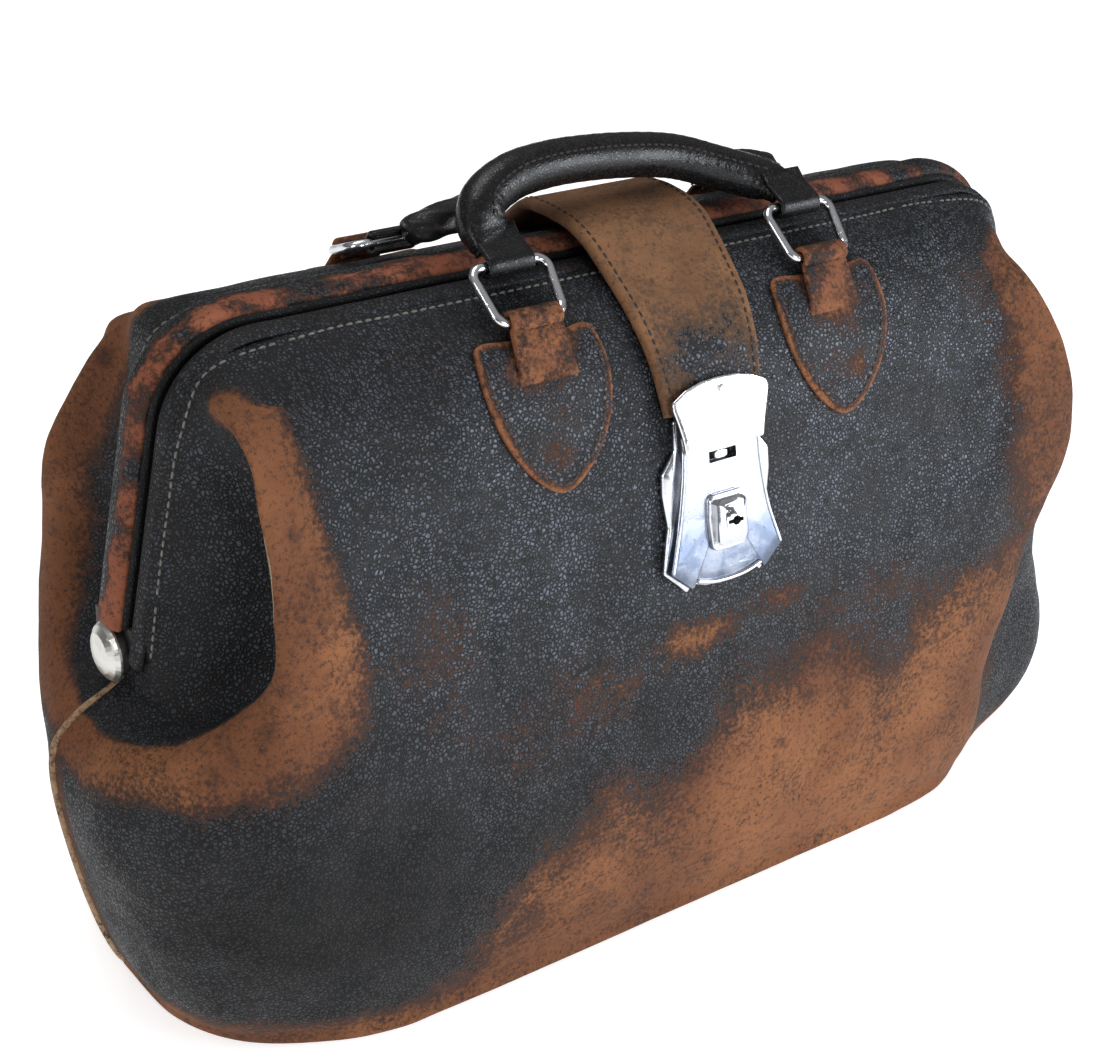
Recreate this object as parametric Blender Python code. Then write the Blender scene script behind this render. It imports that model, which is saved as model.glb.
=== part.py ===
"""An old leather doctor bag: a soft two-part leather body on a hinged steel frame.

Axes: +X along the bag, -Y is the front with the lock, +Z up. The origin is the middle of the
base, on the ground. Outlines are written in millimetres and MM turns them into metres.

Both frame jaws turn about one line through the two end pivots. The upper leather of each side
turns with its jaw and nests inside the mouth of the lower leather.
"""

import math

import bmesh
import bpy
from mathutils import Vector

MM = 0.001

# ---- driving dimensions, millimetres ----
PIVOT_Z = 148.0
PIVOT_X = 207.6
FRAME_TOP_Z = 266.7          # outer line of the frame's rail
FRAME_TOP_X = 188.5          # where leg and rail lines would cross
FRAME_CORNER_R = 36.0
CORNER_STEPS = 10
LEG_START_Z = 158.5          # the swept frame starts here, above the pivot eyes
COVER_START_Z = 161.5
NECK_TOP_Z = 160.6

GAP = 0.35                   # between touching pieces
LEATHER = 2.0                # thickness of the upper leather
TUB_WALL = 1.8

EYE_R = 9.0
SHANK_R = 3.0
EYE_HOLE_R = 3.08
DOME_R = 11.0
DOME_HEIGHT = 5.4
FRONT_LAYER = (-5.0, -2.6)   # depth of the front jaw's bar below the frame's outer line
REAR_LAYER = (-2.2, 0.6)
FRONT_BAR_Y = (-17.0, -8.0)
REAR_BAR_Y = (0.5, 9.0)
END_STEP_BACK = math.tan(math.radians(22.0)) + 0.05   # a little more than the jaws open
NECK_Y = (1.5, 11.5)         # the neck that joins a bar to its eye
PEEN_R = 4.6
PEEN_LENGTH = 2.4

WIRE_R = 1.85
RING_SPAN = 22.0             # between the two bars of a ring
RING_TOP_W = 31.0
RING_LOW_W = 28.0
RING_CORNER_R = 4.5
LOOP_R = WIRE_R + GAP + 1.0  # middle of the leather that wraps a ring's bar
LOOP_LEATHER = 2.0
LOOP_HALF_W = 8.5
SHIELD_LOOP = (math.radians(215.0), math.radians(-35.0))       # start and end round the low bar
TAB_LOOP = (math.radians(-60.0), math.radians(-330.0))         # round the top bar
STUB_LOOP = (math.radians(200.0), math.radians(470.0))
SHIELD_WIDTHS = [(0.0, 1.5), (0.03, 7.0), (0.10, 14.5), (0.22, 20.5), (0.40, 25.0), (0.56, 26.0),
                 (0.66, 23.0), (0.72, LOOP_HALF_W), (1.0, LOOP_HALF_W)]
FRONT_RING_X = 66.4
REAR_RING_X = 85.0

# Grip of the front handle: upright at its left end, slumped low towards its right end.
GRIP_LINE = (
    (-66.4, -17.5, 279.8), (-68.5, -11.0, 285.5), (-64.0, -5.0, 292.0), (-50.0, -0.5, 296.8),
    (-33.0, 1.5, 298.2), (-15.0, 3.0, 297.4), (3.0, 4.0, 295.6), (20.0, 4.0, 293.2),
    (31.0, 2.6, 290.8), (43.0, -0.5, 287.0), (55.0, -5.0, 283.4), (63.0, -11.0, 281.4),
    (66.4, -17.5, 280.0),
)
GRIP_R = 8.8
GRIP_END_R = 5.4
GRIP_TAPER_FROM = 0.66
# Torn end of the rear handle: x, then how far in front of and over the ring's top bar.
STUB_LINE = ((REAR_RING_X - 1.0, 9.6, 5.6), (76.0, 9.2, 7.0), (66.0, 8.0, 8.0), (56.0, 6.6, 8.4),
             (50.0, 6.0, 8.6))
STUB_RADII = (5.0, 5.4, 6.0, 6.4, 6.6, 6.6, 6.4, 6.0, 5.4)
FRONT_LOW_BAR = (-41.5, 262.0)
FRONT_RING_LEAN = math.radians(39.6)
REAR_RING_LEAN = math.radians(155.0)

STRAP_THICK = 4.5
STRAP_HINGE = (12.0, 277.6)
STRAP_OVER = [STRAP_HINGE, (2.0, 278.2), (-9.0, 277.4), (-20.0, 273.2)]
STRAP_WIDTHS = [(0.0, 30.0), (0.35, 28.5), (0.7, 25.0), (1.0, 21.8)]
TAIL_WIDTHS = [(0.0, 30.0), (1.0, 29.0)]
TAIL_START = [(14.9, 277.3), (22.0, 275.0)]
HASP_WIDTHS = [(0.0, 19.0), (0.12, 22.0), (0.3, 22.7), (1.0, 18.6)]
HASP_THICK = 1.6
TONGUE_THICK = 2.6
TONGUE_HALF_W = 3.2
RIVET_STEPS = ((0.0, 1.7), (0.5, 1.5), (0.8, 0.8))             # height, radius
BOSS_STEPS = ((0.0, 7.2, 11.0), (3.6, 7.2, 11.0), (6.2, 5.2, 8.4))   # height, half sizes
LOCK_WIDTHS = [(0.0, 18.0), (0.14, 18.0), (0.24, 24.5), (0.36, 24.5), (0.50, 21.0), (0.66, 22.5),
               (0.84, 27.5), (0.93, 24.0), (1.0, 14.0)]
HASP_TOP_S = 53.0            # distances along the front panel, from its top edge
LOCK_TOP_S = 65.0
HASP_END_S = 77.0
LOCK_CENTRE_S = 105.0
LOCK_END_S = 130.0
CASE_DEPTH = 4.0
BACKPLATE_THICK = 1.2
CASE_LIFT = BACKPLATE_THICK + 2 * GAP    # the case sits on its backplate
HASP_CLEARANCE = 0.5         # lets the hasp slide up over the case as the jaws open
CHAPE_TOP_S = 28.0
CHAPE_END_S = 79.0

# Front panel, from the frame down into the lower leather: (y, z).
FRONT_PANEL = [
    (-19.2, 265.0), (-28.0, 262.6), (-38.0, 257.6), (-50.0, 246.0), (-58.5, 231.5),
    (-65.0, 214.0), (-72.0, 185.0), (-78.0, 165.0), (-82.6, 148.0), (-86.0, 130.0),
    (-88.3, 111.0),
]
REAR_PANEL = [(10.8, 265.4), (22.0, 264.0)] + [(-y, z) for y, z in FRONT_PANEL[2:]]

# Lower leather, outside: height, half length, half width, corner radius.
TUB_LEVELS = [
    (0.0, 206.0, 77.0, 52.0), (3.0, 209.5, 81.0, 54.0), (12.0, 214.0, 85.5, 55.0),
    (38.0, 220.0, 90.0, 56.0), (65.0, 226.0, 92.2, 56.0), (91.0, 229.5, 92.5, 56.0),
    (109.0, 231.0, 92.5, 55.0), (117.0, 229.0, 92.5, 53.0), (119.6, 223.0, 92.3, 48.0),
]
MOUTH = (120.0, 208.6, 90.9, 30.0)


# ---- helpers ----
def clear_scene():
    for obj in list(bpy.data.objects):
        bpy.data.objects.remove(obj, do_unlink=True)


def principled(name, color, roughness, metallic=0.0):
    material = bpy.data.materials.new(name)
    material.use_nodes = True
    shader = material.node_tree.nodes["Principled BSDF"]
    shader.inputs["Base Color"].default_value = (*color, 1.0)
    shader.inputs["Roughness"].default_value = roughness
    shader.inputs["Metallic"].default_value = metallic
    return material


FINISHES = {
    "black_leather": ((0.030, 0.028, 0.027), 0.45, 0.0),
    "brown_leather": ((0.20, 0.075, 0.030), 0.75, 0.0),
    "handle_leather": ((0.020, 0.019, 0.019), 0.35, 0.0),
    "nickel": ((0.75, 0.75, 0.76), 0.18, 1.0),
    "steel": ((0.35, 0.34, 0.33), 0.45, 1.0),
    "board": ((0.22, 0.15, 0.09), 0.9, 0.0),
    "welt": ((0.34, 0.20, 0.10), 0.8, 0.0),
}


def new_object(name, verts, faces, finish, origin=(0.0, 0.0, 0.0)):
    """A named object of its own material; verts in millimetres, world axes."""
    base = Vector(origin)
    mesh = bpy.data.meshes.new(name)
    mesh.from_pydata([(Vector(v) - base) * MM for v in verts], [], faces)
    mesh.update()
    work = bmesh.new()
    work.from_mesh(mesh)
    bmesh.ops.recalc_face_normals(work, faces=work.faces)
    work.to_mesh(mesh)
    work.free()
    mesh.shade_smooth()
    mesh.set_sharp_from_angle(angle=math.radians(35.0))
    obj = bpy.data.objects.new(name, mesh)
    obj.location = base * MM
    bpy.context.collection.objects.link(obj)
    color, roughness, metallic = FINISHES[finish]
    mesh.materials.append(principled(name, color, roughness, metallic))
    return obj


def loft(sections, loop=False):
    """Faces between equal sections, with flat caps unless the sections form a loop."""
    count = len(sections[0])
    verts = [p for section in sections for p in section]
    faces = []
    last = len(sections) if loop else len(sections) - 1
    for row in range(last):
        here = row * count
        there = ((row + 1) % len(sections)) * count
        for k in range(count):
            n = (k + 1) % count
            faces.append((here + k, here + n, there + n, there + k))
    if not loop:
        faces.append(tuple(reversed(range(count))))
        faces.append(tuple((len(sections) - 1) * count + k for k in range(count)))
    return verts, faces


def modify(target, tool, operation):
    """Boolean of a hidden tool object on the target."""
    tool.hide_render = True
    tool.display_type = "WIRE"
    boolean = target.modifiers.new(tool.name, "BOOLEAN")
    boolean.operation = operation
    boolean.solver = "EXACT"
    boolean.object = tool


def smooth_line(points, steps=4):
    """Catmull-Rom curve through 2-D points."""
    padded = [points[0]] + list(points) + [points[-1]]
    line = []
    for i in range(1, len(padded) - 2):
        a, b, c, d = (Vector(padded[i + k]) for k in (-1, 0, 1, 2))
        for step in range(steps):
            t = step / steps
            line.append(0.5 * (2 * b + (c - a) * t + (2 * a - 5 * b + 4 * c - d) * t ** 2
                               + (3 * b - a - 3 * c + d) * t ** 3))
    line.append(Vector(points[-1]))
    return line


class Profile:
    """A curve in the YZ plane, read by distance along it and height above it."""

    def __init__(self, points, outward=1.0):
        self.line = smooth_line(points)
        self.outward = outward
        self.marks = [0.0]
        for a, b in zip(self.line, self.line[1:]):
            self.marks.append(self.marks[-1] + (b - a).length)

    def at(self, s, height=0.0):
        k = 0
        while k < len(self.marks) - 2 and self.marks[k + 1] < s:
            k += 1
        step = self.line[k + 1] - self.line[k]
        point = self.line[k] + step * ((s - self.marks[k]) / step.length)
        before = self.line[max(k - 1, 0)]
        after = self.line[min(k + 2, len(self.line) - 1)]
        along = (after - before).normalized()
        normal = Vector((-along.y, along.x)) * self.outward
        return point + normal * height


def spread(low, high, count):
    return [low + (high - low) * k / (count - 1) for k in range(count)]


def blend_table(table, s):
    """Linear reading of (s, value) pairs."""
    for (s0, v0), (s1, v1) in zip(table, table[1:]):
        if s <= s1:
            return v0 + (v1 - v0) * max(0.0, (s - s0) / (s1 - s0))
    return table[-1][1]


def ribbon(name, path, thick, widths, finish, centre_x=0.0, origin=None):
    """A strip along a YZ path; widths are (share of its length, half width) pairs."""
    marks = [0.0]
    for a, b in zip(path, path[1:]):
        marks.append(marks[-1] + (b - a).length)
    sections = []
    for k, point in enumerate(path):
        along = (path[min(k + 1, len(path) - 1)] - path[max(k - 1, 0)]).normalized()
        normal = Vector((along.y, -along.x)) * (thick / 2)
        half = blend_table(widths, marks[k] / marks[-1])
        inner, outer = point - normal, point + normal
        sections.append([
            (centre_x - half, inner.x, inner.y), (centre_x + half, inner.x, inner.y),
            (centre_x + half, outer.x, outer.y), (centre_x - half, outer.x, outer.y),
        ])
    verts, faces = loft(sections)
    return new_object(name, verts, faces, finish, origin or (0.0, 0.0, 0.0))


def arc(centre, radius, start, end, steps):
    return [Vector((centre[0] + radius * math.cos(a), centre[1] + radius * math.sin(a)))
            for a in spread(start, end, steps)]


def rounded_outline(half_x, half_y, radius, z, per_corner=7, mids=4):
    points = []
    for quarter in range(4):
        sx = 1 if quarter in (0, 3) else -1
        sy = 1 if quarter in (0, 1) else -1
        cx, cy = sx * (half_x - radius), sy * (half_y - radius)
        for a in spread(quarter * math.pi / 2, (quarter + 1) * math.pi / 2, per_corner):
            points.append((cx + radius * math.cos(a), cy + radius * math.sin(a), z))
    spaced = []
    for k, a in enumerate(points):
        b = points[(k + 1) % len(points)]
        spaced.append(a)
        if (k + 1) % per_corner == 0:
            for m in range(1, mids):
                t = m / mids
                spaced.append(tuple(p + (q - p) * t for p, q in zip(a, b)))
    return spaced


# ---- frame path in the XZ plane ----
def frame_path(start_z):
    """Points and outward normals of the inverted U, from the left leg to the right one."""
    foot = Vector((PIVOT_X, PIVOT_Z))
    corner = Vector((FRAME_TOP_X, FRAME_TOP_Z))
    leg = (corner - foot).normalized()
    turn = math.acos(-leg.x)
    reach = FRAME_CORNER_R * math.tan(turn / 2)
    bend_start = corner - leg * reach
    normal = Vector((leg.y, -leg.x))
    centre = bend_start - normal * FRAME_CORNER_R
    first = math.atan2(normal.y, normal.x)
    right = []
    begin = foot + leg * ((start_z - PIVOT_Z) / leg.y)
    for t in spread(0.0, 1.0, 5)[:-1]:
        right.append((begin.lerp(bend_start, t), normal))
    for a in spread(first, math.pi / 2, CORNER_STEPS):
        out = Vector((math.cos(a), math.sin(a)))
        right.append((centre + out * FRAME_CORNER_R, out))
    left = [(Vector((-p.x, p.y)), Vector((-n.x, n.y))) for p, n in right]
    top = [(Vector((x, FRAME_TOP_Z)), Vector((0.0, 1.0)))
           for x in spread(left[-1][0].x, right[-1][0].x, 9)[1:-1]]
    return left + top + list(reversed(right))


def frame_x(z):
    """Half width of the frame's outer line at a height."""
    below = [(p.y, p.x) for p, _ in reversed(frame_path(PIVOT_Z)) if p.x > 0]
    return blend_table(below, z)


def frame_sweep(name, section, start_z, finish):
    """Sweep of (height over the line, y) points along the frame."""
    sections = []
    for point, normal in frame_path(start_z):
        sections.append([(point.x + normal.x * u, y, point.y + normal.y * u)
                         for u, y in section])
    verts, faces = loft(sections)
    return new_object(name, verts, faces, finish, (0.0, 0.0, PIVOT_Z))


def round_bar(name, x0, x1, radii, finish, z=PIVOT_Z, steps=32):
    """A turned piece along X with the given radii spread from x0 to x1."""
    sections = []
    for x, r in zip(spread(x0, x1, len(radii)), radii):
        sections.append([(x, r * math.cos(a), z + r * math.sin(a))
                         for a in spread(0.0, 2 * math.pi, steps + 1)[:-1]])
    verts, faces = loft(sections)
    return new_object(name, verts, faces, finish, (0.0, 0.0, PIVOT_Z))


def block(name, low, high, finish, origin=(0.0, 0.0, 0.0)):
    (x0, y0, z0), (x1, y1, z1) = low, high
    base = [(x0, y0, z0), (x1, y0, z0), (x1, y1, z0), (x0, y1, z0)]
    verts, faces = loft([base, [(x, y, z1) for x, y, _ in base]])
    return new_object(name, verts, faces, finish, origin)


# ---- pieces ----
def steel_jaw(name, layer, bar_y):
    """Swept bar with a neck and a pivot eye at each end."""
    section = [(layer[0], bar_y[0]), (layer[1], bar_y[0]), (layer[1], bar_y[1]), (layer[0], bar_y[1])]
    jaw = frame_sweep(name, section, LEG_START_Z, "steel")
    outward = 1.0 if bar_y[0] >= 0 else -1.0
    for side, sign in (("left", -1.0), ("right", 1.0)):
        x0, x1 = sorted((sign * (PIVOT_X + layer[0]), sign * (PIVOT_X + layer[1])))
        eye = round_bar(name + "_eye_" + side, x0, x1, [EYE_R, EYE_R], "steel")
        modify(jaw, eye, "UNION")
        inner_y, outer_y = NECK_Y[0] * outward, NECK_Y[1] * outward
        neck = block(name + "_neck_" + side, (x0, min(inner_y, outer_y), PIVOT_Z + 2.0),
                     (x1, max(inner_y, outer_y), NECK_TOP_Z), "steel")
        modify(jaw, neck, "UNION")
        hole = round_bar(name + "_hole_" + side, x0 - 1.0, x1 + 1.0, [EYE_HOLE_R] * 2, "steel")
        modify(jaw, hole, "DIFFERENCE")
    return jaw


def pivot_rivet(side, sign):
    """Dome head outside, shank through both eyes, peened head inside."""
    dome = [(0.0, DOME_R), (0.15, DOME_R), (0.45, DOME_R * 0.90), (0.75, DOME_R * 0.68),
            (0.93, DOME_R * 0.40), (1.0, DOME_R * 0.12)]
    face = PIVOT_X + REAR_LAYER[1] + GAP
    inside = PIVOT_X + FRONT_LAYER[0] - GAP
    outline = [(inside - PEEN_LENGTH, PEEN_R), (inside, PEEN_R), (inside, SHANK_R), (face, SHANK_R)]
    outline += [(face + DOME_HEIGHT * t, r) for t, r in dome]
    sections = []
    for x, r in outline:
        sections.append([(sign * x, r * math.cos(a), PIVOT_Z + r * math.sin(a))
                         for a in spread(0.0, 2 * math.pi, 33)[:-1]])
    verts, faces = loft(sections)
    new_object("pivot_rivet_" + side, verts, faces, "nickel", (0.0, 0.0, PIVOT_Z))


def frame_covers():
    rear_low = REAR_LAYER[1] + GAP
    cap = [(rear_low, -6.5), (2.4, -6.5), (3.8, -4.6), (4.6, -1.8), (4.8, 1.2), (4.4, 4.6),
           (3.2, 7.3), (rear_low, 8.5)]
    frame_sweep("rear_frame_cap", cap, COVER_START_Z, "brown_leather")
    front_low = FRONT_LAYER[1] + GAP
    strip = [(front_low, -18.4), (0.4, -18.4), (1.4, -17.0), (1.5, -9.6), (0.8, -8.2),
             (front_low, -8.2)]
    frame_sweep("front_frame_leather", strip, COVER_START_Z, "brown_leather")


def upper_leather(name, panel, side, edge_y):
    """Thin shell: a front or rear panel with an end wall at each end, open to the other half.

    Below the pivot the end walls step back, so that the halves don't meet as they open."""
    profile = Profile(panel, outward=side)
    length = profile.marks[-1]
    sections = []
    for s in spread(0.0, length, 13):
        outer_y, z = profile.at(s)
        end_y = side * (edge_y + END_STEP_BACK * max(0.0, PIVOT_Z - z))
        end_x = frame_x(max(z, PIVOT_Z)) - 1.5
        ridge_x = min(182.0, end_x - 3.0)
        rim = [(end_x, end_y)]
        near = side * min(abs(outer_y), abs(end_y) + 2.0)
        rim.append((end_x - 1.0, near))
        depth = outer_y - near
        for t in (0.2, 0.4, 0.6, 0.75):
            rim.append((end_x - 1.0 + (ridge_x + 2.0 - end_x) * t, near + depth * t))
        rim.append((ridge_x - 1.0, near + depth * 0.9))
        rim.append((ridge_x - 5.0, near + depth * 0.98))
        rim.append((ridge_x - 11.0, outer_y))
        rim.append((ridge_x - 60.0, outer_y))
        rim += [(-x, y) for x, y in reversed(rim)]
        inner = []
        for x, y in rim:
            shift_x = LEATHER if abs(x) > ridge_x - 11.5 else 0.0
            shift_y = LEATHER if abs(y - end_y) > 1.0 else 0.0
            inner.append((x - math.copysign(shift_x, x), y - side * shift_y))
        ring = [(x, y, z) for x, y in rim] + [(x, y, z) for x, y in reversed(inner)]
        sections.append(ring)
    verts, faces = loft(sections)
    return new_object(name, verts, faces, "black_leather", (0.0, 0.0, PIVOT_Z))


def lower_leather():
    """The lower body: a tub with a turned-in ledge at each end and an open mouth."""
    outside = [rounded_outline(x, y, r, z) for z, x, y, r in TUB_LEVELS]
    z, x, y, r = MOUTH
    lip = [rounded_outline(x, y, r, z), rounded_outline(x, y, r, z - TUB_WALL)]
    inside = []
    for z, x, y, r in reversed(TUB_LEVELS[:-1]):
        floor = max(z - (TUB_WALL if z > 110.0 else 0.0), TUB_WALL)
        inside.append(rounded_outline(x - TUB_WALL, y - TUB_WALL, r - TUB_WALL, floor))
    inside[-1] = [(x * 0.985, y * 0.985, TUB_WALL) for x, y, _ in inside[-1]]
    verts, faces = loft(outside + lip + inside)
    new_object("lower_leather", verts, faces, "brown_leather")
    board = [rounded_outline(196.0, 68.0, 44.0, z) for z in (TUB_WALL + GAP, TUB_WALL + GAP + 3.0)]
    verts, faces = loft(board)
    new_object("bottom_board", verts, faces, "board")


def end_welt(side, sign):
    """The raised seam at the middle of an end, from the ledge to the bottom."""
    line = [(x + GAP, z) for z, x, _, _ in TUB_LEVELS[1:-1]]
    sections = []
    for x, z in line:
        sections.append([(sign * x, -1.6, z), (sign * x, 1.6, z),
                         (sign * (x + 1.8), 1.2, z), (sign * (x + 1.8), -1.2, z)])
    verts, faces = loft(sections)
    new_object("end_welt_" + side, verts, faces, "welt")


def bar_point(low_bar, lean, reach):
    return (low_bar[0] + math.cos(lean) * reach, low_bar[1] + math.sin(lean) * reach)


def ring_corner(cx, cy, radius, start, end):
    return [(cx + radius * math.cos(a), cy + radius * math.sin(a))
            for a in spread(start, end, 5)]


def wire_ring(name, centre_x, low_bar, lean):
    """A rounded trapezoid of wire; its low bar runs through the shield's leather loop."""
    low, top, r = RING_LOW_W / 2, RING_TOP_W / 2, RING_CORNER_R
    half_turn = math.pi / 2
    outline = ring_corner(top - r, RING_SPAN - r, r, 0.0, half_turn)
    outline += ring_corner(-top + r, RING_SPAN - r, r, half_turn, 2 * half_turn)
    outline += ring_corner(-low + r, r, r, 2 * half_turn, 3 * half_turn)
    outline += ring_corner(low - r, r, r, 3 * half_turn, 4 * half_turn)
    sections = []
    for k, (x, v) in enumerate(outline):
        before, after = outline[k - 1], outline[(k + 1) % len(outline)]
        along = Vector((after[0] - before[0], after[1] - before[1])).normalized()
        out = Vector((along.y, -along.x))
        section = []
        for a in spread(0.0, 2 * math.pi, 9)[:-1]:
            flat, lift = WIRE_R * math.cos(a), WIRE_R * math.sin(a)
            y, z = bar_point(low_bar, lean, v + out.y * flat)
            section.append((centre_x + x + out.x * flat,
                            y - math.sin(lean) * lift, z + math.cos(lean) * lift))
        sections.append(section)
    verts, faces = loft(sections, loop=True)
    return new_object(name, verts, faces, "nickel", (centre_x, *low_bar))


def shield(name, centre_x, panel, side, low_bar):
    """A shield-shaped chape: sewn down below, its top wraps the ring's low bar."""
    profile = Profile(panel, outward=side)
    lift = GAP + LOOP_LEATHER / 2
    path = [profile.at(s, lift) for s in spread(CHAPE_END_S, CHAPE_TOP_S + 6.0, 14)]
    loop = arc((0.0, 0.0), LOOP_R, *SHIELD_LOOP, 12)
    path += [Vector((low_bar[0] + (p.x if side < 0 else -p.x), low_bar[1] + p.y)) for p in loop]
    return ribbon(name, path, LOOP_LEATHER, SHIELD_WIDTHS, "black_leather", centre_x)


def strap():
    """Free strap from its bend behind the frame to the hasp, and the tail sewn to the rear."""
    panel = Profile(FRONT_PANEL, outward=-1.0)
    lift = GAP + STRAP_THICK / 2
    down = [tuple(panel.at(s, lift + 0.25)) for s in (21.0, 32.0, 44.0)]
    path = smooth_line(STRAP_OVER + down + [tuple(panel.at(s, lift)) for s in (54.5, LOCK_TOP_S - 1.0)])
    origin = (0.0, *STRAP_HINGE)
    ribbon("strap_front", path, STRAP_THICK, STRAP_WIDTHS, "brown_leather", 0.0, origin)

    rear = Profile(REAR_PANEL, outward=1.0)
    tail = TAIL_START + [tuple(rear.at(s, lift + 0.3)) for s in (27.0, 34.0, 42.0, 50.0, 58.0)]
    ribbon("strap_tail", smooth_line(tail), STRAP_THICK, TAIL_WIDTHS, "brown_leather")


def hasp():
    """Plate riveted to the strap's end, with a tongue behind it that enters the lock case."""
    panel = Profile(FRONT_PANEL, outward=-1.0)
    low = CASE_LIFT + CASE_DEPTH + GAP + HASP_CLEARANCE
    origin = (0.0, *STRAP_HINGE)
    middle = low + HASP_THICK / 2
    path = [panel.at(s, middle) for s in spread(HASP_TOP_S, HASP_END_S, 9)]
    ribbon("hasp_plate", path, HASP_THICK, HASP_WIDTHS, "nickel", 0.0, origin)
    behind = low - GAP - TONGUE_THICK / 2
    path = [panel.at(s, behind) for s in spread(LOCK_TOP_S + 3.0, HASP_END_S - 3.0, 4)]
    widths = [(0.0, TONGUE_HALF_W), (1.0, TONGUE_HALF_W)]
    ribbon("hasp_tongue", path, TONGUE_THICK, widths, "nickel", 0.0, origin)
    head = panel.at(HASP_TOP_S + 4.0, low + HASP_THICK + GAP)
    out = (panel.at(HASP_TOP_S + 4.0, 1.0) - panel.at(HASP_TOP_S + 4.0, 0.0)).normalized()
    along = Vector((-out.y, out.x))
    sections = []
    for height, r in RIVET_STEPS:
        ring = []
        for a in spread(0.0, 2 * math.pi, 13)[:-1]:
            p = head + out * height + along * (r * math.sin(a))
            ring.append((r * math.cos(a), p.x, p.y))
        sections.append(ring)
    verts, faces = loft(sections)
    new_object("hasp_rivet", verts, faces, "nickel", origin)


def lock():
    """Backplate, shallow case with a slot and an open notch, and the sliding boss and catch."""
    panel = Profile(FRONT_PANEL, outward=-1.0)
    rows = spread(LOCK_TOP_S, LOCK_END_S, 26)
    path = [panel.at(s, GAP + BACKPLATE_THICK / 2) for s in rows]
    ribbon("lock_backplate", path, BACKPLATE_THICK, LOCK_WIDTHS, "steel")
    middle = CASE_LIFT + CASE_DEPTH / 2
    path = [panel.at(s, middle) for s in rows]
    case = ribbon("lock_case", path, CASE_DEPTH, LOCK_WIDTHS, "nickel")
    cuts = [("case_notch", LOCK_TOP_S - 3.0, HASP_END_S - 2.0, 5.0),
            ("case_slot", HASP_END_S + 1.5, HASP_END_S + 6.0, 6.5)]
    for name, low, high, half in cuts:
        rows = spread(low, high, 4)
        path = [panel.at(s, middle) for s in rows]
        cutter = ribbon(name, path, CASE_DEPTH + 4.0, [(0.0, half), (1.0, half)], "nickel")
        modify(case, cutter, "DIFFERENCE")
    path = [panel.at(s, middle) for s in spread(HASP_END_S + 2.0, HASP_END_S + 5.5, 3)]
    ribbon("lock_catch", path, CASE_DEPTH - 1.0, [(0.0, 3.0), (1.0, 3.0)], "steel")
    top = CASE_LIFT + CASE_DEPTH + GAP
    sections = []
    for height, half_w, half_s in BOSS_STEPS:
        a = panel.at(LOCK_CENTRE_S - half_s, top + height)
        b = panel.at(LOCK_CENTRE_S + half_s, top + height)
        sections.append([(-half_w, a.x, a.y), (half_w, a.x, a.y),
                         (half_w, b.x, b.y), (-half_w, b.x, b.y)])
    verts, faces = loft(sections)
    new_object("lock_boss", verts, faces, "nickel")


def tube(name, points, radii, finish, origin, steps=14):
    """A round piece along 3-D points with its own radius at each."""
    sections = []
    for k, point in enumerate(points):
        along = (points[min(k + 1, len(points) - 1)] - points[max(k - 1, 0)]).normalized()
        side = along.cross(Vector((0.0, 0.55, -1.0))).normalized()
        up = side.cross(along).normalized()
        sections.append([tuple(point + side * (radii[k] * math.cos(a)) + up * (radii[k] * math.sin(a)))
                         for a in spread(0.0, 2 * math.pi, steps + 1)[:-1]])
    verts, faces = loft(sections)
    return new_object(name, verts, faces, finish, origin)


def handle():
    """Padded leather grip over the strap, with a leather tab round each ring's top bar."""
    top_bar = bar_point(FRONT_LOW_BAR, FRONT_RING_LEAN, RING_SPAN)
    origin = (0.0, *top_bar)
    knots = [Vector(p) for p in GRIP_LINE]
    points = smooth_line(knots, 2)
    middle = (len(points) - 1) / 2
    radii = []
    for k in range(len(points)):
        share = abs(k - middle) / middle
        taper = max(0.0, share - GRIP_TAPER_FROM) / (1.0 - GRIP_TAPER_FROM)
        radii.append(GRIP_R + (GRIP_END_R - GRIP_R) * taper)
    tube("handle_grip", points, radii, "handle_leather", origin)
    for side, sign in (("left", -1.0), ("right", 1.0)):
        path = arc(top_bar, LOOP_R, *TAB_LOOP, 12)
        ribbon("handle_tab_" + side, path, LOOP_LEATHER, [(0.0, LOOP_HALF_W), (1.0, LOOP_HALF_W)],
               "handle_leather", sign * FRONT_RING_X, origin)


def rear_stub(side, sign, low_bar):
    """What is left of the rear handle: a torn end still looped on its ring."""
    top_bar = bar_point(low_bar, REAR_RING_LEAN, RING_SPAN)
    centre = sign * REAR_RING_X
    path = arc(top_bar, LOOP_R, *STUB_LOOP, 12)
    ribbon("rear_stub_loop_" + side, path, LOOP_LEATHER, [(0.0, LOOP_HALF_W), (1.0, LOOP_HALF_W)],
           "handle_leather", centre, (centre, *low_bar))
    inner = [Vector((sign * x, top_bar[0] - y, top_bar[1] + z)) for x, y, z in STUB_LINE]
    tube("rear_stub_" + side, smooth_line(inner, 2), STUB_RADII,
         "handle_leather", (centre, *low_bar))


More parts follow.
